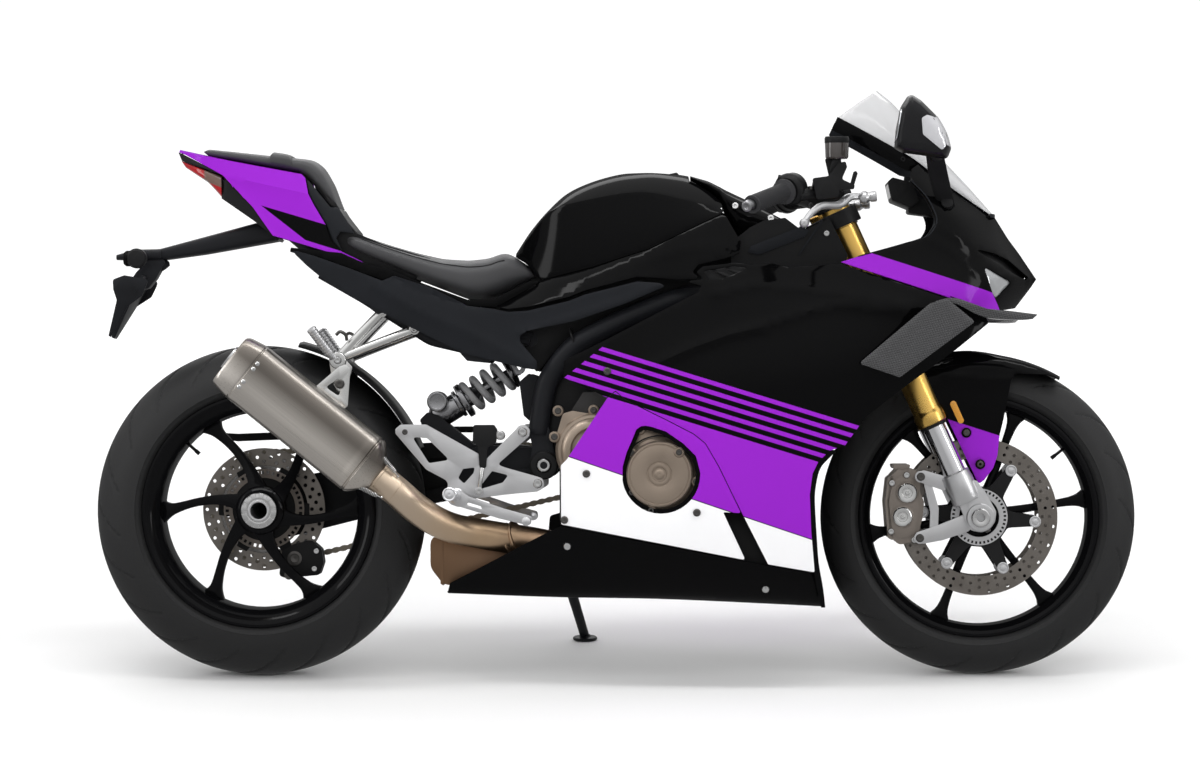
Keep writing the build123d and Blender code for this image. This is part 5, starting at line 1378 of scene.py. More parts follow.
# near-black matt finish for the disc in the silencer outlet: painted shade for the dark inside of the pipe
paintedOutletShade = Finish("paintedOutletShade", (0.004, 0.004, 0.004), 0.9)
footOf = Vector((front[0] - forkBehind, 0, front[1])) - Vector((cos(rake), 0, sin(rake))) * 30
steerUp = Vector((-sin(rake), 0, cos(rake)))


def strut(a, b, radius, sides=20):
    return tube([a, b], radius, sides, 2)


def coil(start, end, radius, wire, turns, steps=26, sides=10):
    run = Vector(end) - Vector(start)
    out = run.orthogonal().normalized()
    other = run.normalized().cross(out)
    count = int(turns * steps)
    path = []
    for k in range(count + 1):
        a = 2 * pi * k / steps
        path.append(Vector(start) + run * (k / count) + (out * cos(a) + other * sin(a)) * radius)
    return tube(path, wire, sides, count + 1)


def drumShape(centre, rows, steps=72):  # a turned boss across the bike: (radius, y) rows from rim to middle
    return closedUp(*lathe(centre, rows, steps))


def mainFrame():
    path = [(1108, 6, 761), (1010, 50, 746), (900, 101, 730), (801, 146, 716), (748, 150, 698),
        (700, 150, 678), (650, 146, 654), (606, 140, 628), (574, 131, 594), (553, 126, 560), (542, 122, 510),
        (535, 119, 462)]
    rail = tube(path, [21, 21, 21, 20.5, 20, 20, 20, 20], 28, 72)
    seam = turnedOn((603, 139.4, 642), (0.93, 0.12, 0.36), [(18, -2), (21.3, -1.2), (21.3, 1.2), (18, 2)],
        40)
    lug = slab([(514, 476), (554, 476), (562, 440), (570, 403), (562, 382), (544, 376), (525, 385),
        (518, 403), (523, 440)], 7, 106, 132)
    column = turnedOn(footOf + steerUp * 470, steerUp, [(17.7, 0), (33, 0), (34, 3), (34, 14), (31, 18),
        (31, 102), (34, 106), (34, 117), (33, 120), (17.7, 120)], 56)
    gusset = tube([(1090, 30, 757), (1040, 34, 742), (1000, 40, 722)], 12, 14, 8)
    ring = drumShape((545, 402), [(13.2, 131), (27, 131), (27, 136), (24.5, 138.5), (15, 138.5),
        (13.2, 137)])
    cap = drumShape((545, 402), [(0.6, 130), (12.8, 130), (12.8, 139), (11, 141), (7, 141), (6.2, 138),
        (0.6, 138)])
    shroud = slab([(548, 430), (556, 480), (566, 560), (606, 618), (700, 655), (730, 610), (650, 470),
        (600, 420)], 8, 112, 117)
    gusset = joined(gusset, slab([(498, 560), (516, 576), (548, 566), (544, 500), (526, 478), (506, 496)], 5,
        96, 101))
    recess = slab([(495, 668), (530, 575), (560, 612), (600, 648), (690, 680), (770, 712), (850, 725),
        (850, 765), (720, 768), (585, 715)], 6, 86, 90)
    airbox = slab([(440, 695), (470, 735), (525, 775), (560, 790), (700, 840), (800, 880), (868, 892),
        (905, 868), (912, 800), (860, 745), (700, 712), (560, 680), (450, 685)], 10, 50, 54)
    shroud = joined(shroud, recess, airbox)
    pin = strut((544, -139, 403), (544, 139, 403), 9.9)
    frameParts = [(joined(pair(joined(rail, lug)), column, pair(gusset), pin), frameBlack),
        (pair(joined(seam, shroud)), satinBlack), (pair(ring), satinBlack), (pair(cap), brightSteel)]
    piece("mainFrame", frameParts, "main_frame", bevel=1.4)


def engineCovers():
    c, r = generator["centre"], generator["radius"]
    rows = [(0.5, -148), (r - 8, -148), (r, -149), (r, -160), (r - 5, -166), (r - 10, -167), (r - 13, -172),
        (r - 22, -177), (44, -178), (41, -175), (34, -175), (31, -178), (30, -183), (26, -185), (12, -185),
        (10, -182), (0.5, -182)]
    ears = []
    for x, z in ((573, 505), (566, 456), (610, 366), (672, 360), (708, 408), (702, 470), (640, 506)):
        ears.append(((x, z), drumShape((x, z), [(0.5, -148), (10.5, -148), (10.5, -163), (9, -165),
            (0.5, -165)], 28)))
    web = slab([(567, 450), (582, 500), (600, 505), (660, 495), (600, 430)], 8, -150, -162)
    covers = [drumShape(c, rows), web] + [e for _, e in ears]
    bolts = [((x, -165, z), (0, -1, 0)) for (x, z), _ in ears]
    c, r = clutch["centre"], clutch["radius"]
    rings = [(0.5, 148), (r + 8, 148), (r + 8, 197), (r + 6, 200), (r + 0.5, 201), (r, 203), (r, 213.5),
        (r - 2.5, 216.5), (r - 5, 217), (r - 5.6, 216), (r - 7, 216), (r - 7.6, 217), (24, 217),
        (23.2, 215.8), (21, 215.8), (20.2, 217), (14, 217), (13.3, 215.4), (9, 215.4), (8.6, 219.5),
        (6, 220.5), (0.5, 220.5)]
    face = drumShape(c, rings, 96)
    bump = slab([(700, 420), (712, 468), (740, 482), (800, 452), (826, 420), (780, 380), (730, 390)], 9, 148,
        198)
    posts = [(712, 352, 205), (748, 318, 205), (833, 372, 205), (712, 426, 205), (728, 470, 205),
        (801, 427, 220)]
    for x, z, high in posts:
        bump = joined(bump, drumShape((x, z), [(0.5, 148), (10, 148), (10, high - 2), (8.5, high),
            (0.5, high)], 28))
    edging = drumShape(c, [(r + 8.2, 188), (r + 11, 188), (r + 11, 199), (r + 8.2, 199)], 96)
    posts = [((x, high, z), (0, 1, 0)) for x, z, high in posts]
    parts = [(joined(pair(joined(face, bump)), *covers), coverBronze), (pair(edging), satinBlack),
             (boltHeads(bolts, 6.5, 5), darkSteel), (pair(boltHeads(posts, 6, 5)), darkSteel)]
    piece("engineCovers", parts, "engine_covers", bevel=1.2)


def exhaustPipes():
    pipe = tube(exhaust["path"], exhaust["radius"], 40, 90)
    inlet, run = silencer["inlet"], silencer["run"]
    sleeve = turnedOn(inlet - run * 46, run, [(25, 0), (27.5, 1), (28, 4), (28, 40), (29.5, 42), (29.5, 46),
        (25, 46)], 48)
    across = Vector((0.9, -0.33, 0.28)).normalized()
    flange = turnedOn((486, -93, 262), across, [(25, -9), (33, -9), (34, -6), (29.5, -3), (29.5, 3), (34, 6),
        (33, 9), (25, 9)], 48)
    chamber = slab([(326, 206), (352, 173), (562, 176), (602, 200), (602, 236), (562, 258), (400, 266),
        (326, 268)], [30, 26, 16, 16, 16, 16, 20, 18], 61, -56)
    seamed = [slab([(345, 176), (351, 172), (351, 266), (345, 266)], 1, 61.6, -56.6),
        slab([(548, 174.5), (554, 174.5), (554, 253.5), (548, 253.5)], 2, 61.6, -56.6)]
    headers = [tube([(566, y, 222), (600, y, 236), (628, y * 1.1, 262), (640, y * 1.15, 300)], 21, 28, 20)
               for y in (-38, 8, 46)]
    hooks = []
    for turn in (-0.9, 0.9):
        out = (Vector((0, -1, 0)) * cos(turn) + run.cross(Vector((0, 1, 0))) * sin(turn)).normalized()
        a, b = inlet - run * 30 + out * 33, inlet + run * 22 + out * 47
        hooks += [coil(a.lerp(b, 0.18), a.lerp(b, 0.82), 4.2, 1.1, 11, 14, 6),
            strut(a, a.lerp(b, 0.2), 1.2, 8), strut(a.lerp(b, 0.8), b, 1.2, 8),
            strut(a - out * 10, a, 2.2, 10), strut(b - out * 12, b, 2.2, 10)]
    piece("exhaustPipes", [(joined(closedUp(*pipe), sleeve, flange), heated),
        (joined(chamber, *seamed, *headers), bronzeHeat), (joined(*hooks), brightSteel)], "exhaust_pipe",
        bevel=5, segments=3, bevelAngle=50)


def silencerBody():
    inlet, run, (halfY, halfZ) = silencer["inlet"], silencer["run"], silencer["half"]
    up = run.cross(Vector((0, -1, 0)))
    end = silencer["length"]

    def section(distance, share):
        a, b = halfY * share, halfZ * share
        loop = rounded([(-a, -b), (a, -b), (a, b), (-a, b)], silencer["corner"] * share, 9)
        return [inlet + run * distance + Vector((0, -1, 0)) * u + up * v for u, v in loop]

    table = [(0, 0.44), (2, 0.5), (8, 0.58), (18, 0.78), (27, 0.93), (31, 0.975), (34, 0.99)]
    table += [(36, 0.962), (38, 0.962), (40, 1.0), (44, 1.004), (52, 1.004), (54, 0.998), (60, 1.0)]
    table += [(120, 1.0), (200, 1.0), (296, 1.0), (300, 1.006), (309, 1.006), (310.5, 0.985), (312, 0.985),
        (313.5, 1.0), (318, 0.998), (336, 0.942), (346, 0.905), (350, 0.88), (end, 0.85)]
    rows = [section(d, s) for d, s in table]
    rim = [inlet + run * end + (Vector((0, -1, 0)) * cos(a) + up * sin(a)) * 34
           for a in np.linspace(-2.356, -2.356 + 2 * pi, len(rows[0]), endpoint=False)]
    rows += [[p.lerp(q, 0.55) for p, q in zip(section(end, 0.82), rim)], rim]
    for radius, distance in ((30, end), (29, end - 2), (29, end - 52)):
        rows.append([inlet + run * distance + (p - inlet - run * end).normalized() * radius for p in rim])
    shell = grid(rows, closedV=True)
    pipe = turnedOn(inlet + run * 290, run, [(0.5, 0), (24, 0), (24, 68), (26.5, 68), (26.5, 0.5), (27, -2),
        (0.5, -2)], 48)
    # plug: a near-black disc over the outlet pipe's floor, painted shade for its dark inside
    plug = turnedOn(inlet + run * 292, run, [(0.5, 0), (23.5, 0), (23.5, 2), (0.5, 2)], 40)
    rivets = []
    for v in (-44, -15, 15, 44):
        for side, reach in ((-1, halfY), (1, halfY)):
            at = inlet + run * 304 + Vector((0, side, 0)) * (reach + 0.1) + up * v * (0.62
                if abs(v) > 40 else 1)
            rivets.append(turnedOn(at, (0, side, 0), [(0.3, 0), (4.4, 0), (4.2, 1.2), (2.6, 2.2),
                (0.3, 2.4)], 16))
    hanger = slab([(112, 549), (120, 545), (170, 510), (176, 516), (181, 586), (172, 594), (160, 590)], 5,
        -158, -151, [rounded([(134, 551), (160, 533), (166, 572)], 5)])
    stay = strut((161, -158, 557), (161, -120, 557), 8)
    bolt = sideBolts([(161, 557)], -158.5, 9, 6)
    piece("silencer", [(shell, titanium), (joined(pipe, *rivets), brightSteel), (plug, paintedOutletShade)], "silencer",
          angle=24)
    piece("silencerHanger", [(joined(hanger, stay), polished), (bolt, darkSteel)], bevel=1.2)


def swingarmPiece():
    body = slab([(568, 390), (568, 418), (540, 434), (440, 440), (395, 432), (377, 405), (385, 372),
        (420, 350), (540, 372)], 12, 103, -103)
    arm = slab([(500, 434), (420, 447), (250, 440), (110, 387), (30, 374), (-40, 352), (-60, 316),
        (-40, 274), (40, 260), (200, 300), (400, 340), (500, 366)], [10, 40, 60, 40, 30, 30, 40, 30, 40, 60,
        40, 10], 102, 149, [rounded([(420, 415), (300, 412), (255, 372), (290, 345), (420, 375)], 14)], 60)
    inset = slab([(426, 418), (296, 415), (250, 372), (286, 340), (426, 372)], 14, 116, 132)
    boss = drumShape(rear, [(25.1, 63), (58, 63), (62, 66), (62, 146), (58, 150), (44, 150), (42, 147),
        (30, 147), (28, 149), (25.1, 149)], 80)
    ear = rounded([(386, 418), (318, 464), (307, 488), (322, 503), (343, 497), (414, 438)], 6)
    shockLug = joined(plate(ear, -17, -27), plate(ear, -63, -73))
    pivot = drumShape((544, 403), [(10.1, -104), (22, -104), (24, -101), (24, 101), (22, 104), (10.1, 104)],
        40)
    ribs = [slab([(404, 366), (536, 380), (548, 396), (414, 392)], 5, y, y - 3) for y in (-103, 106)]
    pad = slab([(395, 440), (470, 444), (520, 436), (520, 430), (400, 432)], 3, 70, -70)
    blade = slab([(50, 356), (-30, 336), (-42, 316), (-30, 292), (40, 278), (96, 300), (96, 344)], 12, 149,
        153, [circle(rear, 46, 48)])
    bolts = sideBolts([(72, 336), (72, 306)], 153, 6, 5)
    piece("swingarm", [(joined(body, arm, inset, boss, pivot, *ribs, pad), frameBlack),
        (shockLug, frameBlack), (blade, satinBlack), (bolts, darkSteel)], "swingarm", bevel=5,
        segments=3, bevelAngle=50)


def shockAbsorber():
    foot, top = shock["foot"], shock["top"]
    run = (top - foot).normalized()
    length = (top - foot).length
    at = lambda share: foot + (top - foot) * share
    eyes = joined(drumShape((326, 485), [(6, -29), (15, -29), (15, -61), (6, -61)], 32),
                  drumShape((494, 588), [(6, -29), (14, -29), (14, -61), (6, -61)], 32))
    body = turnedOn(at(0.0), run, [(0.5, 8), (18, 8), (24, 14), (24, length * 0.3), (20, length * 0.34),
        (17, length * 0.36), (17, length * 0.5), (14, length * 0.52), (9, length * 0.54), (8, length - 20),
        (13, length - 16), (15, length - 2), (0.5, length - 2)], 40)
    threads = [turnedOn(at(0.2 + 0.013 * k), run, [(16.6, -1), (18.4, 0), (16.6, 1)], 32) for k in range(14)]
    seats = [turnedOn(at(0.36), run, [(17, 0), (33, 0), (34, 2), (34, 10), (30, 12), (17, 12)], 48),
             turnedOn(at(0.31), run, [(17, 0), (26, 0), (27, 2), (27, 7), (17, 8)], 12),
             turnedOn(at(0.89), run, [(9, 0), (32, 0), (33, 2), (31, 8), (20, 12), (9, 12)], 48)]
    spring = coil(at(0.43), at(0.89), shock["spring"], shock["wire"], shock["turns"], 28, 12)
    tank = drumShape((342, 523), [(0.5, -51), (18, -51), (19.5, -53), (19.5, -60), (18.5, -61), (18.5, -96),
        (19.5, -97), (19.5, -101), (17.5, -104), (14, -104), (13.4, -103), (0.5, -103)], 56)
    neck = slab([(322, 496), (330, 530), (352, 534), (362, 513)], 4, -33, -58)
    piece("shockAbsorber", [(joined(eyes, body, neck, *threads), gunmetal), (joined(*seats, tank), gunmetal),
          (spring, springGrey)], "shock_absorber", bevel=0.8, segments=1)


def rearsets():
    outline = [(266, 472), (276, 480), (324, 480), (423, 424), (427, 412), (425, 402), (492, 469),
        (500, 478), (511, 479), (520, 470), (518, 457), (458, 404), (474, 398), (534, 381), (545, 375),
        (546, 360), (534, 353), (470, 347), (417, 340), (386, 323), (368, 330), (360, 347), (367, 372),
        (324, 395), (266, 463)]
    radii = [5, 6, 8, 6, 5, 4, 9, 8, 8, 9, 9, 5, 9, 8, 9, 9, 9, 20, 20, 14, 12, 14, 14, 14, 5]
    windows = [rounded([(297, 457), (326, 454), (368, 413), (329, 407)], 5), rounded([(420, 356), (448, 392),
        (479, 384), (468, 370)], 4), rounded([(384, 379), (393, 396), (416, 399), (413, 388), (395, 368)],
        4)]
    right = slab(outline, radii, -150, -160, windows)
    left = slab(outline[3:-2], radii[3:-2], 176, 186, windows[1:])
    parts, bolts = [right, left], []
    for x, z in ((506, 465), (534, 368)):
        for side, inner in ((-1, 150), (1, 176)):
            parts.append(drumShape((x, z), [(0.5, side * 132.2), (12, side * 132.2), (12, side * inner),
                (0.5, side * inner)], 32))
            bolts.append(((x, side * (inner + 10), z), (0, side, 0)))
    pump = slab([(413, 479), (452, 479), (458, 470), (456, 446), (440, 436), (437, 398), (425, 396),
        (422, 438), (412, 448)], 5, -166, -142)
    banjo = joined(drumShape((464, 459), [(0.5, -148), (9, -148), (9, -164), (7, -166), (0.5, -166)], 24),
                   strut((464, -156, 459), (448, -156, 468), 5))
    rod = joined(strut((430, -164, 398), (424, -168, 356), 4), drumShape((424, 354),
        [(0.5, -160), (8, -160), (8, -176), (0.5, -176)], 20))
    small = sideBolts([(284, 466), (381, 352), (420, 470), (447, 448)], -160.5, 5.5, 4)
    piece("rearsetPlates", [(joined(*parts), castSilver), (boltHeads(bolts, 9, 5), brightSteel)],
          "rearset_plates", bevel=1.8, segments=3)
    piece("rearPump", [(pump, satinBlack), (joined(banjo, rod), brightSteel), (small, darkSteel)],
          bevel=1.4)


def footControls():
    parts, pegs, rubbers = [], [], []
    for side, face in ((-1, 160), (1, 186)):
        base = drumShape((382, 345), [(0.5, side * (face + 0.2)), (14, side * (face + 0.2)),
            (15, side * (face + 3)), (15, side * (face + 12)), (11, side * (face + 15)),
            (0.5, side * (face + 15))], 40)
        a, b = Vector((382, side * (face + 12), 345)), Vector((372, side * (face + 96), 350))
        run = (b - a).normalized()
        profile = [(0.5, 0), (9, 0), (9, 14)]
        for k in range(11):
            profile += [(11.4, 15 + 6 * k), (11.4, 18.4 + 6 * k), (9.8, 19.2 + 6 * k), (9.8, 20.2 + 6 * k)]
        profile += [(13.4, 82), (13.4, 86), (12, 87), (9.5, 85.5), (6, 86.5), (0.5, 86.5)]
        pegs.append(turnedOn(a, run, profile, 12))
        lever = slab([(384, 360), (404, 345), (470, 322), (524, 307), (521, 289), (462, 303), (388, 325),
            (368, 341)], [9, 12, 30, 7, 7, 30, 9, 9], side * (face + 14), side * (face + 22),
            [rounded([(402, 334), (428, 326), (430, 320), (402, 328)], 3)])
        parts += [base, lever]
        tip = [(0.5, 0)] + [(r, 14 + 2.4 * k) for k in range(19)
            for r in (7.6 if k % 2 else 8.4,)] + [(0.5, 60)]
        rubbers.append(turnedOn((514, side * face, 298), (0, side, 0), tip, 24))
    piece("footControls", [(joined(*parts), castSilver), (joined(*pegs), chrome),
          (joined(*rubbers), castSilver)], "foot_controls", bevel=1.5)


def passengerBrackets():
    arms = [tube([(239, 110, 694), (196, 110, 650), (152, 110, 603)], 9, 20, 12),
        tube([(300, 110, 660), (226, 110, 632), (152, 110, 603)], 9, 20, 12), strut((300, 98, 660),
        (300, 119.5, 660), 10), strut((239, 92, 694), (239, 119.5, 694), 10), drumShape((155, 602),
        [(0.5, 100), (15, 100), (16.5, 102), (16.5, 122), (14, 124.5), (0.5, 124.5)], 40)]
    tab = slab([(138, 602), (170, 602), (182, 589), (169, 540), (155, 539), (145, 556)], 6, 105, 115,
        [circle((161, 557), 6, 20)])
    a, b = Vector((146, 122, 606)), Vector((104, 144, 664))
    run = (b - a).normalized()
    profile = [(0.5, 0), (7, 0), (7, 12)]
    for k in range(9):
        profile += [(9.6, 13 + 6 * k), (9.6, 16.6 + 6 * k), (8.2, 17.2 + 6 * k), (8.2, 18.4 + 6 * k)]
    peg = turnedOn(a, run, profile + [(10, 68), (9, 72), (0.5, 72)], 14)
    hook = tube([(172, 119, 640), (170, 124, 650), (160, 127, 656), (152, 125, 650)], 3.2, 10, 14)
    bolts = pair(boltHeads([((300, 119.5, 660), (0, 1, 0)), ((239, 119.5, 694), (0, 1, 0)),
        ((155, 124.5, 602), (0, 1, 0))], 7.5, 5))
    piece("passengerBrackets", [(pair(joined(*arms, tab)), polished), (pair(peg), castSilver),
        (bolts, brightSteel), (pair(hook), darkSteel)], "passenger_brackets", bevel=1.2)


print("frame, engine and exhaust")
mainFrame()
engineCovers()
exhaustPipes()
silencerBody()
swingarmPiece()
shockAbsorber()
rearsets()
footControls()
passengerBrackets()


fork = {"spacing": 105, "tubeRadius": 27, "lowEnd": 478, "highEnd": 888}
grip = {"inner": Vector((1015, 205, 921)), "outer": Vector((932, 345, 884)), "radius": 17, "ribs": 34}
mirror = {
    "outline": [(1226, 1086), (1234, 1089), (1251, 1078), (1280, 1049), (1301, 1012), (1307, 988),
                (1300, 970), (1283, 972), (1253, 977), (1216, 982), (1202, 990), (1204, 1022), (1213, 1066)],
    "rows": [(252.5, 0.5), (254, 0.68), (262, 0.84), (282, 0.95), (312, 1.0), (342, 0.99), (364, 0.93),
             (377, 0.82), (381, 0.66), (381.8, 0.5)],  # lateral position, share of the outline
}

goldTube = metal("goldTube", (0.88, 0.56, 0.15), 0.3, 50, 0.04)
mirrorBlack = plastic("mirrorBlack", (0.008, 0.008, 0.009), 0.3, 900, 0.1)
gripRubber = plastic("gripRubber", (0.03, 0.03, 0.032), 0.62, 600, 0.4)
mirrorGlass = Finish("mirrorGlass", (0.75, 0.77, 0.8), 0.04, 1.0)
smokedPot = Finish("smokedPot", (0.035, 0.03, 0.028), 0.12, coat_weight=0.6)
clearLens = Finish("clearLens", (0.5, 0.5, 0.52), 0.08, 0.3, coat_weight=0.8)
displayGlass = Finish("displayGlass", (0.004, 0.005, 0.006), 0.08, coat_weight=1.0)
finMetal = metal("finMetal", (0.05, 0.05, 0.052), 0.5, 80, 0.2, metallic=0.6)
chainSteel = metal("chainSteel", (0.3, 0.27, 0.22), 0.34, 90, 0.2)


def onFork(z, side=-1):
    return Vector((front[0] - forkBehind - (z - front[1]) * tan(rake), side * fork["spacing"], z))


def eachSide(make):
    return joined(make(1), make(-1))


def onForks(z, profile, steps):
    return eachSide(lambda s: turnedOn(onFork(z, s), steerUp, profile, steps))


def forkPieces():
    r, long = fork["tubeRadius"], (fork["highEnd"] - fork["lowEnd"]) / cos(rake)
    outer = [(21.7, -1), (27, -1), (29, 1), (29.5, 4), (29.5, 18), (28.6, 22), (27.4, 25), (r, 28),
        (r, long - 42), (r - 0.8, long - 41), (r - 0.8, long - 38), (r, long - 37), (r, long), (21.7, long)]
    seal = [(21.6, -7), (25.5, -7), (26.5, -5), (26.5, -1), (21.6, -1)]
    cap = [(0.5, long - 4), (26.8, long - 4), (26.8, long + 3), (24.5, long + 5), (19, long + 5),
        (18, long + 8), (0.5, long + 8)]
    knob = [(0.5, long + 8), (11, long + 8), (11, long + 14), (9.5, long + 15.5), (4, long + 15.5),
        (0.5, long + 14)]
    turnedTubes = onForks(fork["lowEnd"], outer, 56)
    seals = onForks(fork["lowEnd"], seal, 48)
    caps = onForks(fork["lowEnd"], cap, 48)
    knobs = onForks(fork["lowEnd"], knob, 6)
    piece("forkTubes", [(turnedTubes, goldTube), (joined(seals, caps), satinBlack), (knobs, goldAnodised)],
          "fork_outer_tubes", bevel=0.5, segments=1, body="front_end")
    boot = [(0.5, -4), (26, -4), (28.5, 0), (28.5, 40), (27.5, 48), (27.5, 54), (25.6, 56.5), (22, 57),
        (0.5, 57)]
    boots = onForks(334, boot, 56)
    foot = rounded([(1322, 346), (1334, 366), (1362, 372), (1380, 348), (1400, 312), (1397, 290),
        (1374, 272), (1350, 277), (1340, 300)], [8, 12, 8, 12, 16, 16, 16, 12, 14])
    upper = rounded([(1334, 378), (1330, 356), (1300, 352), (1258, 367), (1250, 378), (1262, 391),
        (1300, 380)], 7)
    lower = rounded([(1364, 318), (1352, 276), (1300, 258), (1262, 251), (1246, 257), (1248, 272),
        (1290, 286), (1330, 302)], [8, 14, 20, 8, 8, 8, 20, 10])
    web = rounded([(1340, 352), (1352, 300), (1372, 290), (1384, 318), (1366, 352)], 9)
    stay = rounded([(1262, 374), (1276, 374), (1292, 318), (1290, 268), (1274, 262), (1276, 312)], 5)
    legs = eachSide(lambda s: joined(plate(foot, s * 88, s * 118), plate(upper, s * 88, s * 104),
        plate(lower, s * 88, s * 104), plate(web, s * 117, s * 122), plate(stay, s * 89, s * 100),
        drumShape(front, [(12.6, s * 84), (27, s * 84), (27, s * 122), (25, s * 124.5), (12.6, s * 124.5)],
        48)))
    bolted = ((1258, 378), (1256, 262))  # where the caliper is held
    lugs = eachSide(lambda s: joined(*[drumShape(c, [(0.5, s * 86), (11, s * 86), (11, s * 106),
        (0.5, s * 106)], 28) for c in bolted]))
    heads = [((x, s * 106, z), (0, s, 0)) for s in (1, -1) for x, z in bolted]
    pinch = [((1384, s * 96 + k * 10 * s, 283 - 6), (0.5, 0, -0.86)) for s in (1, -1) for k in (0, 1.4)]
    piece("forkFeet", [(joined(boots, legs, lugs), castSilver), (boltHeads(heads, 8, 6), darkSteel),
        (boltHeads(pinch, 5, 4), darkSteel)], "fork_bottoms", bevel=2.6, segments=3,
        body="front_end")
    axle = drumShape(front, [(8, -134), (15.5, -134), (18, -132), (18, -124.7), (12.4, -124.7),
        (12.4, 124.7), (18, 124.7), (18, 132), (15.5, 134), (8, 134)], 40)
    piece("frontSpindle", (axle, brightSteel), "front_spindle", bevel=0.8, body="front_end")


def frontCalipers():
    half = rounded([(1220, 397), (1250, 391), (1258, 372), (1257, 350), (1265, 330), (1262, 300),
        (1250, 256), (1216, 248), (1200, 268), (1195, 330), (1201, 378)], [9, 8, 6, 6, 8, 14, 12, 14, 18, 50,
        14])
    raised = rounded([(1222, 380), (1244, 376), (1250, 350), (1256, 318), (1246, 268), (1218, 260),
        (1204, 276), (1198, 330), (1206, 370)], 12)
    bridge = rounded([(1205, 401), (1240, 401), (1236, 392), (1208, 392)], 3)
    back = rounded([(1196, 262), (1206, 256), (1206, 382), (1196, 374), (1191, 330)], 5)
    pistons = ((1233, 347), (1224, 302))

    def one(s):
        parts = [plate(half, s * 40, s * 53), plate(half, s * 68, s * 84), plate(raised, s * 83, s * 87.5),
                 plate(bridge, s * 40, s * 86), plate(back, s * 42, s * 84)]
        for c in pistons:
            parts.append(drumShape(c, [(20, s * 84), (21.5, s * 85), (21.5, s * 89), (19, s * 90),
                (19, s * 84)], 44))
        return joined(*parts)

    capRows = [(0.5, 84), (18.4, 84), (18.4, 89.5), (16, 91), (10, 91), (9, 89), (4, 89), (3, 91), (0.5, 91)]
    caps = eachSide(lambda s: joined(*[drumShape(c, [(r, s * y) for r, y in capRows], 44) for c in pistons]))
    pad = [(1204, 352), (1222, 352), (1222, 284), (1204, 284)]
    pads = eachSide(lambda s: joined(plate(pad, s * 54, s * 57.6), plate(pad, s * 63.4, s * 67)))
    heads = [((x, s * 87.5, z), (0, s, 0)) for s in (1, -1) for x, z in ((1232, 381), (1246, 258),
        (1202, 274), (1204, 366))]
    piece("frontCalipers", [(eachSide(one), caliperGrey), (caps, polished), (pads, darkSteel),
        (boltHeads(heads, 6.5, 5), brightSteel)], "front_calipers", bevel=2.2, segments=3,
        body="front_end")


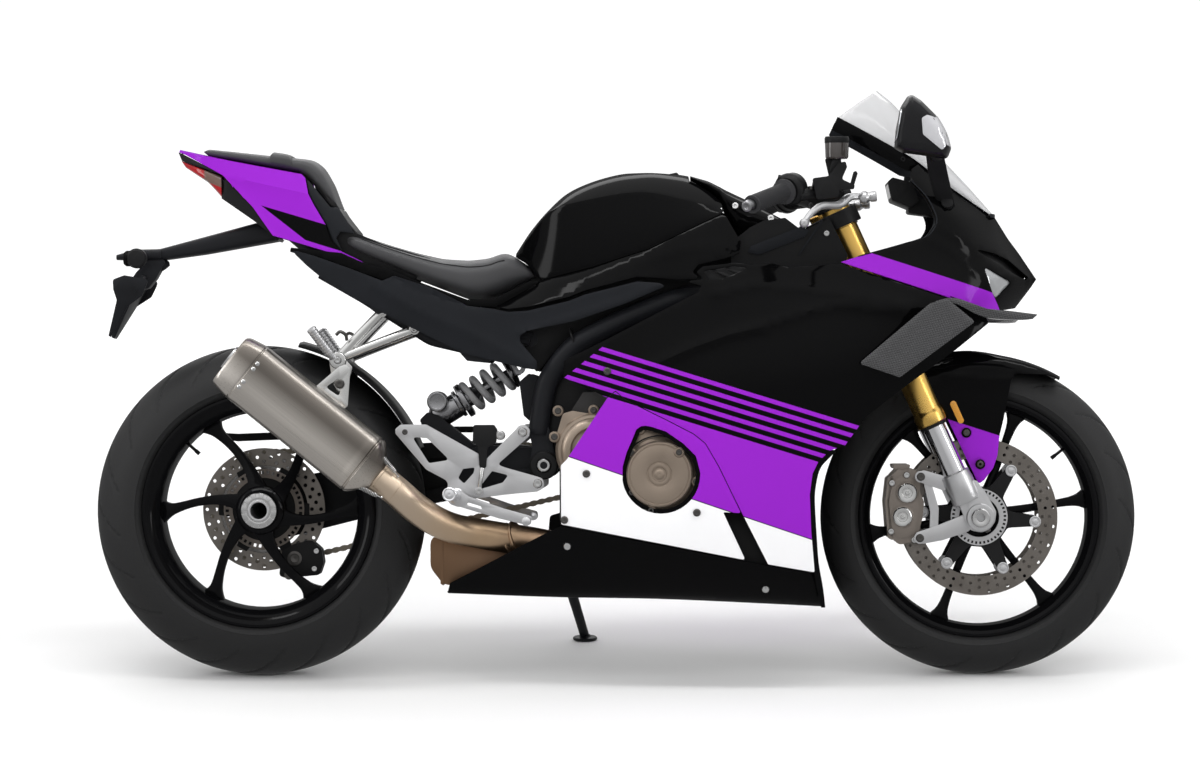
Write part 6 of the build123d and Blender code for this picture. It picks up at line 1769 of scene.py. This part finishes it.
def barPieces():
    clamps, bars, ends, grips, housings, levers, bolts = [], [], [], [], [], [], []
    for s in (1, -1):
        flip = lambda v: Vector((v[0], s * v[1], v[2]))
        low = onFork(886, s)
        clamps.append(turnedOn(low, steerUp, [(27.2, 0), (34, 0), (36, 2), (36, 32), (34, 34), (27.2, 34)],
            48))
        knee = low + steerUp * 17 + Vector((-22, s * 32, 4))
        inner, outer = flip(grip["inner"]), flip(grip["outer"])
        run = outer - inner
        clamps.append(tube([low + steerUp * 17 + Vector((-14, s * 22, 2)), knee, knee.lerp(inner, 0.6),
            inner + run * 0.02], [15, 14, 12.5, 11.5], 24, 20))
        bars.append(strut(inner, outer, 11, 24))
        end = [(0.5, 0), (11, 0), (11.5, 2), (10.5, 15), (9, 17), (5, 17), (4, 15), (0.5, 15)]
        ends.append(turnedOn(outer - run * 0.035, run, end, 32))
        profile = [(11.1, 0), (24, 0), (24, 4), (18, 7)]
        length = run.length * 0.76
        for k in range(grip["ribs"]):
            h = 8 + (length - 14) * k / grip["ribs"]
            profile += [(17, h), (17, h + 1.8), (16, h + 2.1), (16, h + 3)]
        profile += [(17, length - 5), (17.6, length - 3), (17, length), (11.1, length)]
        grips.append(turnedOn(inner + run * 0.18, run, profile, 36))
        box = [(13.2, -8), (26, -8), (29, -4), (29, 8), (31, 11), (31, 18), (29, 22), (24, 26), (13.2, 26)]
        housings.append(turnedOn(inner - run * 0.02, run, box, 40))
        for up, wide in ((16, 9), (2, 7)):
            spot = inner + run * 0.07 + Vector((0, 0, up))
            housings.append(tube([spot, spot + Vector((-22, 0, 6))], [wide, wide * 0.7], 16, 4))
        cylinder = [flip((1026, 222, 908)), flip((1074, 197, 911)), flip((1122, 172, 912))]
        housings.append(tube(cylinder, [12, 11, 11.5, 9], 24, 12))
        housings.append(tube([flip((1040, 215, 909)), inner + run * 0.03], 12, 20, 4))
        blade = [flip(p) for p in ((1146, 192, 906), (1122, 206, 904), (1102, 230, 889), (1068, 278, 885),
            (1048, 316, 871), (1035, 340, 855))]
        levers.append(tube(blade, [6.5, 9, 9, 8, 6.5, 5], 18, 34, 0.75))
        knob = [(0.5, 0), (9, 0), (12, 5), (12, 12), (8.5, 17), (8.5, 20), (10, 21), (10, 30), (8, 32),
            (0.5, 32)]
        levers.append(turnedOn(flip((1141, 196, 903)), (1, 0, 0.1), knob, 14))
        levers.append(turnedOn(flip((1034, 337, 851)), (0, s, 0), [(0.5, 0), (6, 0), (8.6, 4), (9, 9),
            (8, 14), (5, 17.5), (0.5, 18)], 24))
        bolts += [(flip((1050, 214, 921)), (0, 0, 1)), (low + steerUp * 34 + Vector((-20, s * 20, 0)),
            steerUp)]
    pot = turnedOn((1098, -221, 975), (0, 0, 1), [(0.5, 0), (19, 0), (21.5, 3), (22.5, 30), (0.5, 30)], 40)
    potCap = turnedOn((1098, -221, 1005), (0, 0, 1), [(0.5, 0), (23, 0), (23, 9), (21.5, 12), (0.5, 12)], 24)
    stalk = joined(tube([(1098, -221, 972), (1092, -214, 952), (1098, -196, 928), (1106, -184, 912)],
        [9, 7, 6, 8], 14, 12), slab([(1086, 985), (1076, 975), (1084, 940), (1098, 936), (1106, 950),
        (1100, 976)], 5, -200, -209), turnedOn((1062, -206, 918), (0.2, 0.1, 1),
        [(0.5, 0), (11, 0), (12, 4), (12, 16), (9, 20), (0.5, 20)], 24), slab([(1052, 939), (1082, 943),
        (1101, 968), (1114, 970), (1117, 960), (1107, 937), (1131, 926), (1130, 919), (1103, 917),
        (1099, 903), (1060, 899)], [4, 8, 4, 3, 3, 5, 2, 2, 3, 5, 5], -207, -229),
        slab([(1121, 922), (1129, 922), (1137, 948), (1134, 953), (1129, 951)], 2, -210, -218),
        turnedOn((1098, -221, 969), (0, 0, 1), [(0.5, 0), (8, 0), (8, 6), (0.5, 6)], 20))
    piece("handlebars", [(joined(*clamps), satinBlack), (joined(*bars), satinBlack),
        (joined(*ends), gunmetal)], "handlebars", bevel=1, body="front_end")
    piece("grips", (joined(*grips), gripRubber), "grips", body="front_end")
    piece("handControls", [(joined(*housings, potCap, stalk), satinBlack), (joined(*levers), castSilver),
          (pot, smokedPot), (boltHeads(bolts, 6, 4), darkSteel)], "hand_controls", bevel=1, body="front_end")


def yokes():
    parts = []
    middle = Vector((cos(rake), 0, sin(rake)))
    for low in (425, 604):
        shape = [(30 + 38 * cos(a), 105 + 38 * sin(a)) for a in np.linspace(-0.1, 2.9, 22)]
        shape += [(-6, 66), (-24, 30), (-32, 12), (-32, -12), (-24, -30), (-6, -66)]
        shape += [(30 + 38 * cos(a), -105 + 38 * sin(a)) for a in np.linspace(-2.9, 0.1, 22)]
        shape += [(56, -60), (44, -26), (44, 26), (56, 60)]
        holes = [circle((30, s * 105), 27.3, 40) for s in (1, -1)]
        if low > 600:
            holes += [rounded([(22, s * 28), (40, s * 34), (40, s * 62), (10, s * 62)], 6) for s in (1, -1)]
        flat, faces = plate(shape, low, low + 30, holes, 60)
        parts.append(closedUp([footOf + steerUp * h + middle * u + Vector((0, v, 0)) for u, h, v in flat],
            faces))
    stem = turnedOn(footOf + steerUp * 425, steerUp, [(8, -4), (17.4, -4), (17.4, 216), (8, 216)], 40)
    nut = turnedOn(footOf + steerUp * 634, steerUp, [(8, 0), (22, 0), (22, 10), (20, 12), (8, 12)], 6)
    piece("yokes", [(joined(*parts), satinBlack), (stem, brightSteel), (nut, goldAnodised)], "triple_clamps",
          bevel=2.4, segments=3, body="front_end")


def mirrors():
    loop = rounded(mirror["outline"], [6, 8, 10, 40, 30, 12, 9, 30, 30, 10, 5, 20, 30], 4)
    hub = (1236, 1020)
    rows = [[(hub[0] + (x - hub[0]) * share, -y, hub[1] + (z - hub[1]) * share) for x, z in loop]
        for y, share in mirror["rows"]]
    shell = closedUp(*grid(rows, closedV=True, caps=True))
    a, b = Vector((1204, 0, 1000)), Vector((1215, 0, 1064))
    glassLoop = [(262, 0.04), (372, 0.06), (376, 0.5), (366, 0.94), (286, 0.96), (262, 0.6)]
    glassLoop = rounded([(y, t * 66) for y, t in glassLoop], 12, 4)
    flat, faces = meshed(glassLoop, 60)
    back = (b - a).normalized().cross(Vector((0, 1, 0)))
    place = [a + (b - a) * (t / 66) + Vector((0, -y, 0)) for y, t in flat]
    glass = facing([tuple(p + back * 1.6) for p in place], faces, (-1, 0, 0))
    strip = []
    for y in np.linspace(300, 374, 10):
        share = np.interp(y, [r[0] for r in mirror["rows"]], [r[1] for r in mirror["rows"]]) * 1.012
        strip.append([(hub[0] + (x - hub[0]) * share, -y, hub[1] + (z - hub[1]) * share)
                      for x, z in smooth([(1281, 1048), (1293, 1028), (1301, 1010), (1306, 990)], 8)])
    lens = facing(*grid(strip), (1, 0, 0))
    blade = slab([(1262, 986), (1296, 980), (1308, 938), (1322, 888), (1312, 878), (1284, 900), (1268, 950)],
        [6, 8, 40, 5, 5, 30, 20], -3.5, 3.5, (), 12)
    arm = ([(x, y - np.interp(z, [880, 900, 940, 985], [150, 166, 206, 266]), z) for x, y, z in blade[0]],
        blade[1])
    root = tube([(1306, -172, 896), (1306, -146, 890), (1304, -112, 886)], [11, 13, 13], 20, 10)
    corner = [(1250, 1043), (1260, 1049), (1274, 1045), (1290, 1018), (1295, 993), (1288, 983), (1252, 1013)]
    flat2, faces2 = meshed(rounded(corner, 5, 3), 7)
    rays = sorted((atan2(z - hub[1], x - hub[0]), hypot(x - hub[0], z - hub[1])) for x, z in loop)
    end = []
    for x, z in flat2:
        reach = np.interp(atan2(z - hub[1], x - hub[0]), *zip(*rays), period=2 * pi)
        share = hypot(x - hub[0], z - hub[1]) / reach
        end.append((x, -2.5 - np.interp(share, [0.5, 0.66, 0.82, 0.93, 0.99], [381.8, 381, 377, 364, 342]),
            z))
    facet = facing(end, faces2, (0, -1, 0))
    knuckle = turnedOn((1280, -266, 982), (0.35, 0.4, -0.85), [(0.5, -10), (12, -10), (14, -6), (14, 6),
        (11, 12), (0.5, 12)], 28)
    piece("mirrors", [(pair(shell), mirrorBlack), (pair(joined(arm, knuckle, root)), satinBlack)], "mirrors",
          bevel=0.8, angle=50)
    piece("mirrorGlass", (pair(glass), mirrorGlass), thick=1.5)
    piece("mirrorLens", (pair(joined(lens, facet)), clearLens), thick=2.5, bevel=0.6)


def dashboard():
    case = slab([(1206, 903), (1198, 938), (1207, 946), (1244, 936), (1258, 900), (1240, 889)], 5, 85, -85)
    stay = slab([(1236, 880), (1330, 868), (1330, 892), (1244, 912)], 6, 60, -60)
    a, b = Vector((1205.2, 0, 906)), Vector((1198.8, 0, 936))
    ahead = Vector((-0.98, 0, -0.2))
    rows = [[a.lerp(b, t) + ahead * 0.9 + Vector((0, y, 0)) for y in (-74, 74)] for t in (0.08, 0.92)]
    face = facing(*grid(rows), (-1, 0, 0))
    piece("dashDisplay", [(joined(case, stay), satinBlack)], "dash_display", bevel=3, segments=3)
    piece("dashGlass", (face, displayGlass), thick=1)


def rearDetails():
    low, high = radians(21), radians(76)
    section = [(324, -96), (330, -82), (331, -60), (333, 0), (331, 60), (330, 82), (324, 96), (320, 94),
        (327, 60), (329, 0), (327, -60), (320, -94)]
    shell = closedUp(*grid([[(rear[0] + r * cos(a), y, rear[1] + r * sin(a)) for r, y in section]
                            for a in np.linspace(low, high, 40)], closedV=True, caps=True))
    piece("rearHugger", (shell, satinBlack), "rear_hugger", bevel=1)
    guard = slab([(-98, 452), (-60, 446), (100, 452), (300, 462), (400, 462), (400, 474), (300, 474),
        (-60, 461), (-96, 463)], 4, 175, 157)
    tab = slab([(180, 438), (220, 438), (220, 470), (180, 466)], 5, 127, 157)
    piece("chainGuard", (joined(guard, tab), satinBlack), "chain_guard", bevel=1.8)
    body = rounded([(30, 188), (44, 184), (108, 190), (116, 214), (112, 240), (92, 257), (60, 250),
        (36, 238)], 9)
    halves = joined(plate(body, 32, 46), plate(body, 62, 88), plate([(56, 186), (96, 190), (96, 192.6),
        (56, 192.6)], 34, 86))
    lug = drumShape((49, 190), [(0.5, 31), (9, 31), (9, 40), (0.5, 40)], 24)
    cap = drumShape((60, 222), [(0.5, 31), (14, 31), (14, 29.5), (9, 29), (8, 30.5), (0.5, 30.5)], 36)
    heads = boltHeads([((x, 32, z), (0, -1, 0)) for x, z in ((102, 236), (98, 202))], 6, 4)
    piece("rearCaliper", [(halves, satinBlack), (joined(lug, cap), darkSteel), (heads, brightSteel)],
        "rear_caliper", bevel=2, segments=3)


chainPitch = 15.9


def chainLoop():
    big, small = (rear, 100), ((600, 392), 38)
    (x0, z0), (x1, z1) = big[0], small[0]
    span = hypot(x1 - x0, z1 - z0)
    tilt, wrap = atan2(z1 - z0, x1 - x0), acos((big[1] - small[1]) / span)
    reach = 9.5
    path = []
    for a in np.linspace(tilt + wrap, tilt + 2 * pi - wrap, 60):
        path.append(onCircle(big[0], big[1] + reach, a))
    for a in np.linspace(tilt - wrap, tilt + wrap, 24):
        path.append(onCircle(small[0], small[1] + reach, a))
    points = np.array(path + path[:1])
    run = np.r_[0, np.cumsum(np.linalg.norm(np.diff(points, axis=0), axis=1))]
    links = 2 * round(run[-1] / chainPitch / 2)
    at = np.linspace(0, run[-1], links, endpoint=False)
    pins = np.column_stack([np.interp(at, run, points[:, k]) for k in (0, 1)])
    plates, rollers = [], []
    for k in range(links):
        (ax, az), (bx, bz) = pins[k], pins[(k + 1) % links]
        ux, uz = (bx - ax) / chainPitch, (bz - az) / chainPitch
        loop = []
        for t, w in ((-0.38, 0), (-0.25, 4.2), (0.1, 5.8), (0.5, 3.9), (0.9, 5.8), (1.25, 4.2), (1.38, 0),
                (1.25, -4.2), (0.9, -5.8), (0.5, -3.9), (0.1, -5.8), (-0.25, -4.2)):
            loop.append((ax + chainPitch * t * ux - w * uz, az + chainPitch * t * uz + w * ux))
        for s in (1, -1):
            a, b = (4.4, 5.6) if k % 2 else (3.0, 4.2)
            near = [(x, 166 + s * a, z) for x, z in loop]
            far = [(x, 166 + s * b, z) for x, z in loop]
            plates.append(grid([near, far], closedV=True, caps=True))
        rollers.append(drumShape((ax, az), [(0.3, 160.2), (3.4, 160.2), (3.4, 171.8), (0.3, 171.8)], 8))
    piece("chain", (joined(*plates, *rollers), chainSteel), "chain", angle=30)


def standPieces():
    pivot, tilt = Vector((560, 180, 236)), radians(38.7)
    axis = Vector((0, cos(tilt), sin(tilt)))
    plateShape = slab([(540, 214), (580, 214), (600, 262), (620, 280), (585, 311), (548, 300)], 8, 149, 157)
    boss = turnedOn(pivot - axis * 30, axis, [(0.5, 0), (14, 0), (15, 2), (15, 19), (14, 21), (6, 21),
        (6, 41), (0.5, 41)], 36)
    head = sideBolts([(594, 282), (560, 290)], 157, 7, 5)
    piece("standBracket", [(joined(plateShape, boss), frameBlack), (head, darkSteel)], "stand_bracket",
        bevel=1.4)
    foot = Vector((612, 318, 318 * tan(lean)))
    up = Vector((0, -sin(lean), cos(lean)))
    eye = turnedOn(pivot - axis * 8.5, axis, [(6.1, 0), (18, 0), (20, 2), (20, 15), (18, 17), (6.1, 17)], 40)
    legEnd = foot + up * 6
    leg = tube([pivot.lerp(legEnd, 0.08), pivot.lerp(legEnd, 0.5) + Vector((1.5, 0, 0)), legEnd],
        [11, 10.5, 9.5, 9], 24, 16)
    pad = turnedOn(foot, up, [(0.5, 0.3), (22, 0.3), (24, 1.5), (24, 5), (22, 6.5), (12, 6.8), (9, 12),
        (0.5, 12)], 40)
    piece("sideStand", (joined(eye, leg, pad), frameBlack), "side_stand", bevel=1.2, body="side_stand")


print("front end, controls and rear details")
forkPieces()
frontCalipers()
barPieces()
yokes()
mirrors()
dashboard()
rearDetails()
chainLoop()
standPieces()
left = {"fork_inner_tubes": chrome, "subframe": frameBlack, "engine_block": enginePaint,
    "radiator": finMetal, "undertray": satinBlack}
for node, finish in left.items():  # the CAD nodes that stay take a finish
    for held in frame["nodes"][node].material_slots:
        held.material = finish.material

studio = {
    "distance": 10.0,  # camera to the bike's middle plane, in metres
    "middle": (649.1, 546.0),  # what the middle of the picture looks at, in the bike plane, in mm
    "square": (840.6, 546.0),  # the point that the camera stands square to
    "wide": 2.2979,  # width of the picture at the bike, in metres
    "roll": 0.173,  # degrees
    "fill": 0.8,  # light from all round on matt surfaces
    "reflected": (0.42, 1.3),  # what a glossy surface shows of them, low down and overhead
    "farLift": 0.3,  # keeps the floor white where the lamps do not reach
}


def makeCamera():
    data = bpy.data.cameras.new("camera")
    data.sensor_width, data.lens = 36, 36 * studio["distance"] / studio["wide"]
    data.clip_end = 200
    camera = bpy.data.objects.new("camera", data)
    bpy.context.scene.collection.objects.link(camera)
    spot = bike @ Vector((studio["square"][0] * mm, -studio["distance"], studio["square"][1] * mm))
    aim = bike @ Vector((studio["middle"][0] * mm, 0, studio["middle"][1] * mm))
    ahead = (aim - spot).normalized()
    right = ahead.cross(upAxis).normalized()
    upward = right.cross(ahead)
    turn = Matrix.Rotation(radians(studio["roll"]), 3, ahead)
    view = Matrix((right, upward, -ahead)).transposed()
    camera.matrix_world = Matrix.Translation(spot) @ (turn @ view).to_4x4()
    bpy.context.scene.camera = camera


def areaLight(name, spot, aim, size, power, shines=True):
    data = bpy.data.lights.new(name, "AREA")
    data.shape, data.size, data.size_y, data.energy = "RECTANGLE", size[0], size[1], power
    light = bpy.data.objects.new(name, data)
    light.visible_glossy = shines
    bpy.context.scene.collection.objects.link(light)
    light.location = spot
    light.rotation_mode = "QUATERNION"
    light.rotation_quaternion = (Vector(aim) - Vector(spot)).to_track_quat("-Z", "Y")


def makeStudio():
    floor = Finish("floor", (0.93, 0.93, 0.93), 0.9, specular_ior_level=0.0, emission_strength=1.0)
    x, y, _ = floor.where()
    away = ((x * x + y * y) ** 0.5).over(3400, 4400) * studio["farLift"]
    floor.set(emission_color=floor.node("ShaderNodeCombineColor", {}, away, away, away))
    size = 60
    mesh = bpy.data.meshes.new("floor")
    mesh.from_pydata([(-size, -size, 0), (size, -size, 0), (size, size, 0), (-size, size, 0)], [],
        [(0, 1, 2, 3)])
    mesh.materials.append(floor.material)
    obj = bpy.data.objects.new("floor", mesh)
    bpy.context.scene.collection.objects.link(obj)
    obj.visible_glossy = False
    world = bpy.data.worlds.new("studio")
    bpy.context.scene.world = world
    world.use_nodes = True
    tree = world.node_tree
    lit = tree.nodes["Background"]
    seen, soft, first, second, ramp, heading, parts, path = (tree.nodes.new("ShaderNode" + kind)
        for kind in ("Background", "Background", "MixShader", "MixShader", "MapRange", "TexCoord",
        "SeparateXYZ", "LightPath"))
    lit.inputs["Strength"].default_value = studio["fill"]
    for sky in (lit, seen, soft):
        sky.inputs["Color"].default_value = (1, 1, 1, 1)
    for socket, value in zip(ramp.inputs[1:5], (0.05, 0.85, *studio["reflected"])):
        socket.default_value = value
    for start, end in ((heading.outputs["Generated"], parts.inputs[0]), (parts.outputs["Z"], ramp.inputs[0]),
            (ramp.outputs[0], soft.inputs["Strength"]), (path.outputs["Is Glossy Ray"], first.inputs[0]),
            (lit.outputs[0], first.inputs[1]), (soft.outputs[0], first.inputs[2]),
            (path.outputs["Is Camera Ray"], second.inputs[0]), (first.outputs[0], second.inputs[1]),
            (seen.outputs[0], second.inputs[2]), (second.outputs[0], tree.nodes["World Output"].inputs[0])):
        tree.links.new(start, end)
    areaLight("overhead", (0, -0.9, 4.2), (0, 0, 0.6), (5.0, 0.5), 62)
    areaLight("nearSide", (0.3, -4.5, 2.6), (0, 0, 0.6), (4.5, 1.2), 34, False)
    areaLight("ahead", (4.2, -1.8, 1.8), (0.2, 0, 0.6), (0.7, 2.6), 30)
    areaLight("behind", (-4.2, -1.4, 1.9), (-0.2, 0, 0.6), (0.7, 2.6), 26)
    areaLight("farSide", (0, 4.5, 2.8), (0, 0, 0.6), (4.5, 1.0), 46)
    bpy.context.scene.view_settings.view_transform = "Standard"


print("studio")
makeStudio()
makeCamera()
